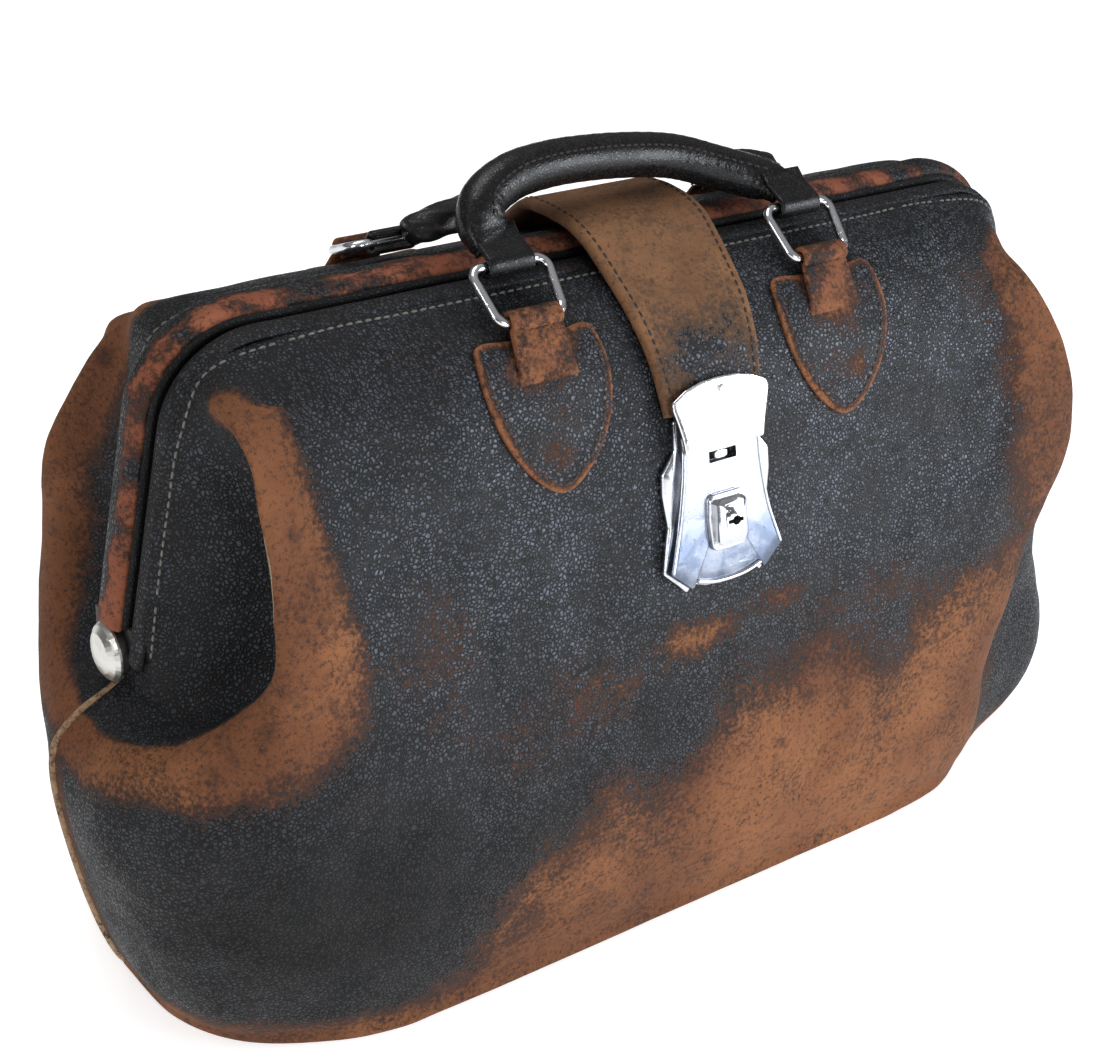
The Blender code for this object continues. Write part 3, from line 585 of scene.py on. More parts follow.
def half_control(left, right, depth_sign):
    """The whole sheet's control grid, in millimetres, from the left seam to the right seam."""
    a, b = columns(left), columns(right)
    a = a * np.array([-1.0, 1.0, 1.0])
    middle = np.array([[(0.0, y, z) for y, z in FRONT_PANEL]])
    control = np.concatenate([a, middle, b[::-1]])
    if depth_sign < 0:
        for k in range(2, len(control) - 2):
            control[k, 0, 1] = -10.6
            if 6 < k < len(control) - 7:
                control[k, 1, 1:] = (-22.0, 264.0)
    return control * np.array([1.0, depth_sign, 1.0])


def smooth_noise(co, scale, seed, octaves=3):
    """Cheap smooth noise: sums of sine waves in fixed random directions, about -1 to 1."""
    local = np.random.default_rng(seed)
    total = np.zeros(len(co))
    weight = 0.0
    for octave in range(octaves):
        power = 0.6 ** octave
        for _ in range(6):
            direction = local.normal(size=3)
            direction *= 2 * math.pi * scale * 1.9 ** octave / np.linalg.norm(direction)
            total += power * np.sin(co @ direction + local.uniform(0, 2 * math.pi))
        weight += power * 2.4
    return total / weight


def body_half(name, control, depth_sign, material, lining):
    u = np.linspace(0.0, 1.0, (len(control) - 1) * 13 + 1)
    v = np.linspace(0.0, 1.0, (len(FRONT_PANEL) - 1) * 9 + 1)
    points = surface(control, u, v) * MM
    rows, cols = points.shape[:2]
    flat = points.reshape(-1, 3)
    # gentle dents away from the frame and the hardware
    calm = np.clip(line_distance(flat, control[:, 0]) / 60.0, 0.0, 1.0)
    hardware = (np.abs(flat[:, 0]) < 0.10) & (flat[:, 2] > 0.14)
    calm = np.where(hardware, 0.0, calm) * np.clip(flat[:, 2] / 0.03, 0.0, 1.0)
    calm *= np.clip(np.abs(flat[:, 1]) / 0.03, 0.0, 1.0)
    dent = smooth_noise(flat, 9.0, 3) * 1.4 + smooth_noise(flat, 26.0, 5) * 0.35
    normal = np.cross(np.gradient(points, axis=0), np.gradient(points, axis=1)).reshape(-1, 3)
    normal /= np.linalg.norm(normal, axis=1, keepdims=True) + 1e-12
    flat = flat + normal * (dent * calm * MM)[:, None]
    obj = mesh_object(name, flat, grid_faces(rows, cols), material)
    obj.data.materials.append(lining)
    fix_outward(obj, depth_sign)
    return obj, (rows, cols)


def fix_outward(obj, depth_sign):
    """Turns the faces so that the panel's normals point away from the bag."""
    centre = min(obj.data.polygons, key=lambda p: (p.center - Vector((0, -0.08 * -depth_sign, 0.16))).length)
    if centre.normal.y * depth_sign < 0:
        obj.data.flip_normals()


def thicken(obj, thickness, thin=None):
    solid = obj.modifiers.new("thickness", "SOLIDIFY")
    solid.thickness = thickness
    solid.offset = -1.0
    if thin is not None:
        group = obj.vertex_groups.new(name="thick")
        for index, weight in enumerate(thin):
            group.add([index], float(weight), "REPLACE")
        solid.vertex_group = "thick"
        solid.thickness_vertex_group = 0.05
    solid.material_offset = 1
    solid.material_offset_rim = 0
    apply_modifiers(obj)


def column_place(count_u, count_v, columns_total):
    """Each outer vertex's column counted from the nearer end seam, and its row."""
    u = np.linspace(0.0, columns_total - 1.0, count_u)
    v = np.linspace(0.0, len(FRONT_PANEL) - 1.0, count_v)
    from_end = np.minimum(u, columns_total - 1.0 - u)
    return np.repeat(from_end, count_v), np.tile(v, count_u)


def body_wear(obj, control, shape, front):
    """How far the black finish is rubbed away, and how glossy what is left is; the gloss also sets where
    highlights are painted on the pebble tops.
    """
    co = coordinates(obj)
    x, y, z = co[:, 0] / MM, np.abs(co[:, 1]) / MM, co[:, 2] / MM
    column, row = column_place(shape[0], shape[1], len(control))
    copies = len(co) // len(column)
    column, row = np.tile(column, copies), np.tile(row, copies)
    steps = np.arange(8)
    wear = np.full(len(co), 0.04)
    for sign, start in ((-1.0, 0), (1.0, len(control) - 1)):
        crest = [hermite(control[start - int(sign) * k], np.array([CREST_ROWS[k] / 15.0]))[0]
                 for k in range(7)]
        near = line_distance(co, hermite(np.array(crest), np.linspace(0, 1, 50)))
        if front:
            outer = np.interp(column, steps, (16, 22, 26, 38, 45, 42, 26, 12))
            inner = np.interp(column, steps, (4, 5, 5, 4, 4, 7, 13, 9))
        else:
            outer = np.interp(column, steps, (9, 13, 17, 21, 22, 20, 15, 10))
            inner = np.interp(column, steps, (5, 12, 17, 21, 23, 22, 16, 8))
        past = row - np.interp(column, steps, CREST_ROWS)
        reach = np.where(past > 0, outer, inner)
        rub = np.exp(-(np.clip(near - 0.35 * reach, 0, None) / (0.62 * reach)) ** 2)
        strength = 1.0 if sign < 0 or not front else 0.86
        wear = np.maximum(wear, strength * rub * (x * sign > 60) * (column < 7.4))
    wear = np.maximum(wear, 0.95 * np.exp(-(z / 24.0) ** 2))
    wear = np.maximum(wear, 0.78 * np.exp(-(y / 9.0) ** 2) * (z < 118) * (z > 2))
    if front:
        wear = front_wear(co, x, y, z, wear)
    else:
        wear = np.maximum(wear, 0.55 * spot(co, (0, 88, 95), (110, 40, 26)))
        wear = np.maximum(wear, 0.5 * spot(co, (90, 84, 140), (40, 40, 22)))
        wear = np.maximum(wear, 0.42 * spot(co, (-170, 40, 235), (30, 30, 30)))
    set_attribute(obj, "wear", np.clip(wear, 0.0, 1.1))
    # Gloss, higher on the front panel's upper part: it lowers the roughness there and places the painted
    # highlights.
    gloss_and_painted_highlight = np.full(len(co), 0.35)
    if front:
        gloss_and_painted_highlight += (0.75 * spot(co, (105, -60, 195), (85, 70, 80))
                  + 0.7 * spot(co, (-100, -70, 185), (50, 60, 70)))
        gloss_and_painted_highlight += 0.6 * spot(co, (0, -70, 190), (60, 60, 60))
        gloss_and_painted_highlight -= 0.40 * spot(co, (-165, -80, 70), (70, 60, 50))
    set_attribute(obj, "gloss_and_painted_highlight", np.clip(gloss_and_painted_highlight, 0.0, 1.0))


def front_wear(co, x, y, z, wear):
    """The broad rubbed area low on the front, the patches above it and the black lobe."""
    line = 112 + 0.16 * (x - 40) + 9.0 * np.sin(x / 21.0) + 5.0 * np.sin(x / 9.0 + 1.0)
    low = 1.0 / (1.0 + np.exp((z - line) / 15.0))
    low *= 1.0 / (1.0 + np.exp(-(x + 100 + 0.75 * (60 - z)) / 19.0))
    low *= 1.0 / (1.0 + np.exp((x - 186) / 10.0))
    wear = np.maximum(wear, 0.98 * low)
    patches = (((-14, -80, 139), (30, 40, 11), 0.80), ((30, -80, 143), (24, 40, 9), 0.74),
               ((-50, -84, 128), (56, 40, 22), 0.47), ((-92, -84, 112), (42, 40, 30), 0.52),
               ((-128, -80, 168), (28, 40, 46), 0.46), ((70, -84, 130), (66, 40, 20), 0.50),
               ((-112, -88, 70), (30, 40, 30), 0.44), ((168, -70, 205), (22, 40, 52), 0.80),
               ((158, -72, 172), (16, 40, 18), 0.62), ((150, -60, 240), (22, 40, 22), 0.48),
               ((-160, -86, 118), (40, 40, 16), 0.50), ((-60, -40, 255), (90, 30, 12), 0.30))
    for centre, reach, share in patches:
        wear = np.maximum(wear, share * spot(co, centre, reach))
    lobe = np.clip(spot(co, (-172, -84, 70), (58, 60, 40)) + spot(co, (-210, -50, 76), (30, 40, 32)), 0, 1)
    return wear - 0.75 * lobe * np.clip((z - 16) / 12, 0, 1) * np.clip((y - 8) / 10, 0, 1)


def build_body(materials):
    halves = {}
    for name, left, right, sign, jaw, nodes in (
            ("front_leather", {}, RIGHT_FRONT, 1.0, "front_jaw", ("front_upper_leather", "lower_leather")),
            ("rear_leather", REAR, REAR, -1.0, "rear_jaw", ("rear_upper_leather",))):
        control = half_control(left, right, sign)
        obj, shape = body_half(name, control, -sign, materials["leather"], materials["lining"])
        column, row = column_place(shape[0], shape[1], len(control))
        fold = np.exp(-((row - np.interp(column, np.arange(8), CREST_ROWS)) / 1.6) ** 2)
        fold = np.maximum(fold, (column > 2) & (column < 7) & (row > 1.5) & (row < 6.5))
        thicken(obj, 0.9 * MM, 1.0 - 0.98 * fold * (column < 7.5))
        body_wear(obj, control, shape, sign > 0)
        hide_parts(*nodes)
        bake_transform(obj)
        halves[name] = control
    return halves


def welts(halves, materials):
    """The raised tan seam at each end, from under the pivot to the bottom."""
    control = halves["front_leather"]
    for side, column in (("left", control[0]), ("right", control[-1])):
        line = hermite(column[1:15], np.linspace(0.0, 1.0, 90)) * MM
        line[:, 1] = 0.0
        tangent = frames_along(line)
        out = np.stack([-tangent[:, 2], np.zeros(len(line)), tangent[:, 0]], axis=1)
        if out[45, 0] * column[5][0] < 0:
            out = -out
        sections = []
        for k, (p, n) in enumerate(zip(line, out)):
            fade = min(1.0, k / 14.0)
            lift = (0.2 + 1.5 * fade) * MM
            ring = []
            for a in turn(10):
                ring.append(p + n * (lift * math.sin(a)) + np.array([0, 1.25 * MM * math.cos(a), 0]))
            sections.append(ring)
        welt = sections_object("end_welt_" + side + "_look", sections, materials["welt"])
        settle(welt, "welt", "root", "end_welt_" + side)


# ---------------------------------------------------------------- frame
PIVOT_X = 207.6
PIVOT_Z = 148.0
FRAME_TOP = (188.5, 266.7)
FRAME_CORNER_R = 36.0


def frame_line(start_z, corner_steps=26):
    """Outer line of the inverted-U frame and its outward normals, in the XZ plane."""
    foot, corner = Vector((PIVOT_X, PIVOT_Z)), Vector(FRAME_TOP)
    leg = (corner - foot).normalized()
    reach = FRAME_CORNER_R * math.tan(math.acos(-leg.x) / 2)
    bend = corner - leg * reach
    normal = Vector((leg.y, -leg.x))
    centre = bend - normal * FRAME_CORNER_R
    begin = foot + leg * ((start_z - PIVOT_Z) / leg.y)
    right = [(begin.lerp(bend, t), normal) for t in np.linspace(0, 1, 26)[:-1]]
    for a in np.linspace(math.atan2(normal.y, normal.x), math.pi / 2, corner_steps):
        out = Vector((math.cos(a), math.sin(a)))
        right.append((centre + out * FRAME_CORNER_R, out))
    left = [(Vector((-p.x, p.y)), Vector((-n.x, n.y))) for p, n in right]
    top = [(Vector((x, FRAME_TOP[1])), Vector((0.0, 1.0)))
           for x in np.linspace(left[-1][0].x, right[-1][0].x, 90)[1:-1]]
    return left + top + right[::-1]


def frame_piece(name, section, start_z, material, wobble=0.0, seed=1):
    sections = [[((point.x + normal.x * u) * MM, y * MM, (point.y + normal.y * u) * MM)
                 for u, y in section] for point, normal in frame_line(start_z)]
    obj = sections_object(name, sections, material)
    if wobble:
        co = coordinates(obj)
        shift = smooth_noise(co, 40.0, seed) * wobble * MM
        co[:, 2] += shift * 0.5
        co[:, 1] += smooth_noise(co, 55.0, seed + 1) * wobble * 0.5 * MM
        obj.data.vertices.foreach_set("co", co.ravel())
    return obj


def ellipse_section(y0, y1, u0, u1, steps=14, power=2.4):
    """Rounded top over a flat base."""
    ring = []
    for a in np.linspace(0.0, math.pi, steps):
        c, s = math.cos(a), math.sin(a)
        y = (y0 + y1) / 2 + (y1 - y0) / 2 * math.copysign(abs(c) ** (2 / power), c)
        ring.append((u0 + (u1 - u0) * abs(s) ** (2 / power), y))
    return ring


def build_frame(materials):
    cap = frame_piece("rear_cap_look", ellipse_section(-6.5, 8.4, 0.95, 4.9), 158.8,
                      materials["cap"], 0.25, 11)
    co = coordinates(cap)
    worn = 0.42 + 0.28 * smooth_noise(co, 18.0, 21) + 0.35 * smooth_noise(co, 70.0, 22)
    worn += 0.40 * (co[:, 1] < 0.002)
    worn -= 0.35 * np.clip((co[:, 1] / MM - 2.0) / 4.0, 0, 1)
    finish_look(cap, worn, 0.4)
    settle(cap, "brown_leather", "rear_jaw", "rear_frame_cap")

    edge = frame_piece("front_edge_look", ellipse_section(-19.8, -10.2, -2.2, 0.3), 150.0,
                       materials["edge"], 0.15, 12)
    settle(edge, "black_leather", "front_jaw", "front_frame_leather")
    co = coordinates(edge)
    finish_look(edge, 0.10 + 0.2 * smooth_noise(co, 30.0, 23), 0.3)

    back = frame_piece("rear_edge_look", ellipse_section(8.9, 12.0, -2.2, 0.9), 152.0,
                       materials["edge"], 0.15, 13)
    settle(back, "black_leather", "rear_jaw")
    co = coordinates(back)
    finish_look(back, 0.16 + 0.2 * smooth_noise(co, 30.0, 24), 0.3)
    gasket = frame_piece("rear_gasket_look", [(-2.4, -7.8), (-2.4, 0.3), (0.85, 0.3), (0.85, -7.8)], 160.0,
                         materials["edge"])
    finish_look(gasket, 0.0, 0.0)
    settle(gasket, "black_leather", "rear_jaw")
    for node in ("front_steel_jaw", "rear_steel_jaw"):
        paint(node, materials["steel"])
    for side in ("left", "right"):
        paint("pivot_rivet_" + side, materials["dome"])
    paint("bottom_board", materials["board"])


def paint(node, material):
    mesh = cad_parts[node].data
    mesh.materials.clear()
    mesh.materials.append(material)


# ---------------------------------------------------------------- pieces on the front panel
class Panel:
    """The panel's outline in the YZ plane, read by distance from its top and height above it."""

    def __init__(self, points, side):
        self.line = hermite(np.array(points, float), np.linspace(0, 1, 41))
        self.marks = distances(self.line)
        tangent = frames_along(self.line)
        self.normals = np.stack([-tangent[:, 1], tangent[:, 0]], axis=1) * side

    def at(self, x, s, height=0.0):
        """World point, metres, of millimetre panel coordinates."""
        s = np.asarray(s, float)
        y = np.interp(s, self.marks, self.line[:, 0])
        z = np.interp(s, self.marks, self.line[:, 1])
        ny = np.interp(s, self.marks, self.normals[:, 0])
        nz = np.interp(s, self.marks, self.normals[:, 1])
        return np.stack(np.broadcast_arrays(x, y + ny * height, z + nz * height), axis=-1) * MM

    def normal(self, s):
        ny = np.interp(s, self.marks, self.normals[:, 0])
        nz = np.interp(s, self.marks, self.normals[:, 1])
        return np.stack(np.broadcast_arrays(np.zeros_like(ny), ny, nz), axis=-1)


REAR_TOP = [(10.8, 265.4), (22.0, 264.0)]
REAR_SHIFT = 8.2    # the rear panel's top edge lies further from its ring than the front's
FRONT = Panel(FRONT_PANEL[:11], -1.0)
BACK = Panel(REAR_TOP + [(-y, z) for y, z in FRONT_PANEL[2:11]], 1.0)


def plate(name, panel, outline, low, high, material, bevel=0.5, centre_x=0.0, dome=0.0, rings=5):
    """A flat piece on the panel with the given (x, s) outline, bevelled, and domed if asked."""
    outline = np.asarray(outline, float)
    middle = outline.mean(axis=0)
    inward = middle - outline
    inward /= np.linalg.norm(inward, axis=1, keepdims=True)
    layers = [(0.0, low), (0.0, high - bevel), (0.3 * bevel, high - 0.3 * bevel), (bevel, high)]
    sections = [np.array(panel.at(centre_x + (outline + inward * inset)[:, 0],
                                  (outline + inward * inset)[:, 1], height))
                for inset, height in layers]
    inner = outline + inward * bevel
    for k in range(1, rings + 1):
        t = k / (rings + 1)
        ring = inner + (middle - inner) * t
        sections.append(panel.at(centre_x + ring[:, 0], ring[:, 1], high + dome * math.sin(t * math.pi / 2)))
    under = [panel.at(centre_x + ring[:, 0], ring[:, 1], low)
             for ring in (outline + (middle - outline) * (k / (rings + 1)) for k in range(rings, 0, -1))]
    sections = under + sections
    verts = [p for section in sections for p in section]
    count = len(outline)
    faces = grid_faces(len(sections), count, close_cols=True)
    verts.append(panel.at(centre_x + middle[0], middle[1], high + dome))
    verts.append(panel.at(centre_x + middle[0], middle[1], low))
    last = (len(sections) - 1) * count
    for j in range(count):
        faces.append((last + j, last + (j + 1) % count, len(verts) - 2))
        faces.append(((j + 1) % count, j, len(verts) - 1))
    obj = mesh_object(name, verts, faces, material)
    fix_normals(obj)
    return obj


def mirrored_outline(half):
    """Closed outline from its right half, listed from top middle to bottom middle."""
    return list(half) + [(-x, s) for x, s in reversed(half) if x > 1e-6]


def rounded(points, rounds=2):
    """Chaikin corner cutting of a closed outline."""
    points = np.asarray(points, float)
    for _ in range(rounds):
        following = np.roll(points, -1, axis=0)
        points = np.stack([points * 0.78 + following * 0.22, points * 0.22 + following * 0.78],
                          axis=1).reshape(-1, 2)
    return points


def resample(points, count):
    """Even spacing along a closed outline."""
    points = np.asarray(points, float)
    closed = np.vstack([points, points[:1]])
    marks = distances(closed)
    s = np.linspace(0, marks[-1], count + 1)[:-1]
    return np.stack([np.interp(s, marks, closed[:, i]) for i in range(2)], axis=1)


# ---------------------------------------------------------------- rings, shields and handle
LOW_BAR = (-41.5, 262.0)
RING_LEAN = math.radians(39.6)
REAR_LEAN = math.radians(155.0)
RING_SPAN = 22.0
WIRE_R = 1.85
FRONT_RING_X = 66.4
REAR_RING_X = 85.0
LOOP_R = 3.3                # middle of the leather round a top bar
LOW_LOOP_R = 3.25


def loop_path(centre, radius, start, end, steps, flip=1.0):
    """Points round a bar, in the YZ plane, between two angles in degrees."""
    return [(centre[0] + flip * radius * math.cos(a), centre[1] + radius * math.sin(a))
            for a in np.linspace(math.radians(start), math.radians(end), steps)]


def ring_outline():
    low, top, r = 14.0, 15.5, 4.5
    outline = []
    for cx, cy, start in ((top - r, RING_SPAN - r, 0.0), (r - top, RING_SPAN - r, 0.5),
                          (r - low, r, 1.0), (low - r, r, 1.5)):
        for a in np.linspace(start * math.pi, (start + 0.5) * math.pi, 9):
            outline.append((cx + r * math.cos(a), cy + r * math.sin(a)))
    return resample(outline, 96)


def build_ring(name, node, centre_x, low_bar, lean, body, materials):
    outline = ring_outline()
    along = np.roll(outline, -1, axis=0) - np.roll(outline, 1, axis=0)
    along /= np.linalg.norm(along, axis=1, keepdims=True)
    out = np.stack([along[:, 1], -along[:, 0]], axis=1)
    plane = np.array([0.0, math.cos(lean), math.sin(lean)])
    lift = np.array([0.0, -math.sin(lean), math.cos(lean)])
    side = np.array([1.0, 0.0, 0.0])
    base = np.array([centre_x, low_bar[0], low_bar[1]])
    sections = []
    for p, n in zip(outline, out):
        centre = base + side * p[0] + plane * p[1]
        sections.append([(centre + (side * n[0] + plane * n[1]) * (WIRE_R * math.cos(a))
                          + lift * (WIRE_R * math.sin(a))) * MM
                         for a in turn(16)])
    ring = sections_object(name, sections, materials["nickel"], loop=True)
    settle(ring, "nickel", body, node)
    return ring


SHIELD_HALF = [(0.0, 25.0), (12.0, 24.6), (21.0, 23.4), (24.6, 25.0), (25.8, 31.0), (26.4, 38.0),
               (25.8, 46.0), (23.6, 55.0), (19.4, 64.0), (13.6, 72.0), (7.6, 77.6), (2.8, 80.2),
               (0.0, 80.6)]


def build_shield(side_name, sign, panel, low_bar, body, materials, rear=False):
    """Stitched shield with a leather loop round the ring's low bar."""
    centre_x = sign * (REAR_RING_X if rear else FRONT_RING_X)
    node = ("rear" if rear else "front") + "_shield_" + side_name
    shift = REAR_SHIFT if rear else 0.0
    outline = resample(rounded(mirrored_outline(SHIELD_HALF), 1), 170) + np.array([0.0, shift])
    shield = plate(node + "_look", panel, outline, 0.1, 1.6, materials["shield"], 0.7, centre_x, 0.7, 9)
    co = coordinates(shield)
    edge_line = panel.at(centre_x + outline[:, 0], outline[:, 1], 1.0) / MM
    near = line_distance(co, np.vstack([edge_line, edge_line[:1]]))
    wear = 0.92 * np.exp(-(near / 2.6) ** 2)
    top = panel.at(centre_x, 34.0 + shift, 1.0) / MM
    reach = 13.0 if sign < 0 else 19.0
    wear = np.maximum(wear, 0.90 * spot(co, top, (16, reach, reach)))
    wear = np.maximum(wear, 0.40 * spot(co, panel.at(centre_x, 60.0 + shift, 1.0) / MM, (14, 20, 20)))
    wear += 0.06 + 0.22 * smooth_noise(co, 45.0, 31 + int(sign))
    finish_look(shield, wear, 0.75)
    settle(shield, "black_leather", body, node)

    middle = outline.mean(axis=0)
    inward = middle - outline
    inward /= np.linalg.norm(inward, axis=1, keepdims=True)
    inset = outline + inward * 3.2
    inset = inset[inset[:, 1] > 31.0 + shift]
    order = np.argsort(np.arctan2(inset[:, 0], -(inset[:, 1] - 60.0 - shift)) % (2 * math.pi))
    inset = inset[order]
    points = panel.at(centre_x + inset[:, 0], inset[:, 1], 1.75)
    stitches = stitch_row(node + "_stitches", points, panel.normal(inset[:, 1]), materials["brown_thread"],
                          0.0036, 0.0012, 0.0006, 0.66, 0.04)
    settle(stitches, "brown_leather", body)

    flip = -1.0 if rear else 1.0
    path = [panel.at(0.0, s + shift, h)[1:] / MM for s, h in ((41.0, 1.7), (38.5, 2.2), (35.5, 2.9))]
    path += loop_path(low_bar, LOW_LOOP_R, 222, -52, 22, flip)
    loop = strip(node + "_loop", np.array(path), 2.0, [(0, 12.5), (0.25, 11.4), (1.0, 10.2)],
                 materials["shield"], centre_x)
    co = coordinates(loop)
    finish_look(loop, 0.72 + 0.3 * smooth_noise(co, 60.0, 41), 0.3)
    settle(loop, "brown_leather", body)


def strip(name, path, thick, widths, material, centre_x=0.0, round_edges=6, rows=None):
    """A leather strip along a YZ path in millimetres, with rounded edges."""
    path = np.asarray(path, float)
    marks = distances(path)
    if rows:
        s = np.linspace(0, marks[-1], rows)
        path = np.stack([np.interp(s, marks, path[:, i]) for i in range(2)], axis=1)
        marks = s
    tangent = frames_along(path)
    normal = np.stack([tangent[:, 1], -tangent[:, 0]], axis=1)
    table = np.array(widths, float)
    sections = []
    for p, n, s in zip(path, normal, marks):
        half = np.interp(s / marks[-1], table[:, 0], table[:, 1])
        ring = []
        flat = np.linspace(-1, 1, 9)
        r = thick / 2
        for x in flat:
            ring.append((x * (half - r), -r))
        for a in np.linspace(-math.pi / 2, math.pi / 2, round_edges + 2)[1:-1]:
            ring.append((half - r + r * math.cos(a), r * math.sin(a)))
        for x in flat[::-1]:
            ring.append((x * (half - r), r))
        for a in np.linspace(math.pi / 2, 1.5 * math.pi, round_edges + 2)[1:-1]:
            ring.append((-(half - r) + r * math.cos(a), r * math.sin(a)))
        sections.append([((centre_x + x) * MM, (p[0] + n[0] * h) * MM, (p[1] + n[1] * h) * MM)
                         for x, h in ring])
    return sections_object(name, sections, material)


def build_strap(materials):
    """The closing strap, from the rear panel over the frame to the hasp."""
    lift = 2.6
    front = [FRONT.at(0, s, lift + 0.25)[1:] / MM for s in (21, 32, 44)]
    front += [FRONT.at(0, s, lift)[1:] / MM for s in (54.5, 63.5)]
    rear = [BACK.at(0, s, lift + 0.3)[1:] / MM for s in (58, 50, 42, 34, 27)]
    knots = rear + [(22.0, 275.0), (12.0, 277.6), (2.0, 278.2), (-9.0, 277.4), (-20.0, 273.2)] + front
    path = hermite(np.array(knots, float), np.linspace(0, 1, 140))
    widths = [(0.0, 28.0), (0.42, 30.0), (0.55, 29.5), (0.78, 26.5), (1.0, 22.3)]
    strap = strip("strap_look", path, 4.4, widths, materials["strap"], rows=130)
    co = coordinates(strap)
    down = np.clip((0.266 - co[:, 2]) / 0.024, 0, 1) * (co[:, 1] < 0)
    wear = 1.05 - 0.62 * down + 0.16 * smooth_noise(co, 40.0, 51)
    from_edge = np.abs(co[:, 0]) / MM - 27.0 + 90.0 * np.clip(0.265 - co[:, 2], 0, 1)
    wear += 0.45 * np.exp(-(from_edge / 3.0) ** 2)
    set_attribute(strap, "wear", wear)
    # Glossier on the lower front, where the leather material also paints highlights on the pebble tops.
    set_attribute(strap, "gloss_and_painted_highlight", 0.4 + 0.5 * down)
    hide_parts("strap_front", "strap_tail")
    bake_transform(strap)
    tangent = frames_along(path)
    normal = -np.stack([-tangent[:, 1], tangent[:, 0]], axis=1)
    if normal[70][1] < 0:
        normal = -normal
    marks = distances(path)
    table = np.array(widths)
    halves = np.interp(marks / marks[-1], table[:, 0], table[:, 1]) - 3.6
    for name, sign in (("left", -1.0), ("right", 1.0)):
        points = np.stack([sign * halves, path[:, 0] + normal[:, 0] * 2.25,
                           path[:, 1] + normal[:, 1] * 2.25], axis=1) * MM
        normals = np.stack([0 * halves, normal[:, 0], normal[:, 1]], axis=1)
        row = stitch_row("strap_stitches_" + name, points, normals, materials["dark_thread"],
                         0.0036, 0.0010, 0.0004, 0.72, 0.03)
        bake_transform(row)


def build_handle(materials):
    """Padded grip: flat leather tabs round the rings' top bars, swelling into a round tube."""
    top = (LOW_BAR[0] + math.cos(RING_LEAN) * RING_SPAN, LOW_BAR[1] + math.sin(RING_LEAN) * RING_SPAN)
    knots = [(-66.4, -17.5, 279.8), (-68.5, -11.0, 285.5), (-64.0, -5.0, 292.0), (-50.0, -0.5, 296.8),
             (-33.0, 1.5, 298.2), (-15.0, 3.0, 297.4), (3.0, 4.0, 295.6), (20.0, 4.0, 293.2),
             (31.0, 2.6, 290.8), (43.0, -0.5, 287.0), (55.0, -5.0, 283.4), (63.0, -11.0, 281.4),
             (66.4, -17.5, 280.0)]
    line = hermite(np.array(knots, float), np.linspace(0, 1, 121))
    tangent = frames_along(line)
    sections = []
    for k, (p, t) in enumerate(zip(line, tangent)):
        share = abs(k - 60) / 60.0
        end = np.clip((share - (0.70 if k < 60 else 0.62)) / 0.30, 0, 1)
        swell = end * end * (3 - 2 * end)
        wide = 8.5 * (1 - swell) + 9.6 * swell
        thick = 8.3 * (1 - swell) + 3.2 * swell
        side = np.cross(t, (0.0, -0.45, 0.9))
        side /= np.linalg.norm(side)
        up = np.cross(side, t)
        ripple = 1.0 + 0.02 * math.sin(k * 1.7) * (0.3 + swell)
        ring = []
        for a in turn(32):
            c, s = math.cos(a), math.sin(a)
            power = 2.0 + 2.0 * swell
            c = math.copysign(abs(c) ** (2 / power), c)
            s = math.copysign(abs(s) ** (2 / power), s)
            ring.append((p + side * (wide * ripple * c) + up * (thick * ripple * s)) * MM)
        sections.append(ring)
    grip = sections_object("handle_look", sections, materials["handle"])
    co = coordinates(grip)
    wear = 0.05 + 0.20 * smooth_noise(co, 60.0, 61)
    wear += 0.5 * np.clip((np.abs(co[:, 0]) / MM - 69.0) / 8.0, 0, 1) * smooth_noise(co, 130.0, 62)
    finish_look(grip, wear, 0.9)
    settle(grip, "handle_leather", "handle", "handle_grip", "handle_tab_left", "handle_tab_right")
    for name, sign in (("left", -1.0), ("right", 1.0)):
        path = [(top[0] + 11.0, top[1] + 9.8), (top[0] + 7.0, top[1] + 6.4)]
        path += loop_path(top, LOOP_R, 110, 335, 22)
        tab = strip("handle_tab_look_" + name, np.array(path), 2.2, [(0, 9.4), (1, 9.6)],
                    materials["handle"], sign * FRONT_RING_X)
        co = coordinates(tab)
        finish_look(tab, 0.12 + 0.3 * smooth_noise(co, 80.0, 63), 0.8)
        settle(tab, "handle_leather", "handle")
    side = np.cross(tangent, (0.0, -0.45, 0.9))
    side /= np.linalg.norm(side, axis=1, keepdims=True)
    up = np.cross(side, tangent)
    seam = slice(10, 111)
    direction = up * math.cos(math.radians(20)) + side * math.sin(math.radians(20))
    direction /= np.linalg.norm(direction, axis=1, keepdims=True)
    points = (line + direction * 8.38) * MM
    row = stitch_row("handle_stitches", points[seam], direction[seam], materials["dark_thread"],
                     0.0032, 0.0009, 0.0004, 0.7)
    settle(row, "handle_leather", "handle")


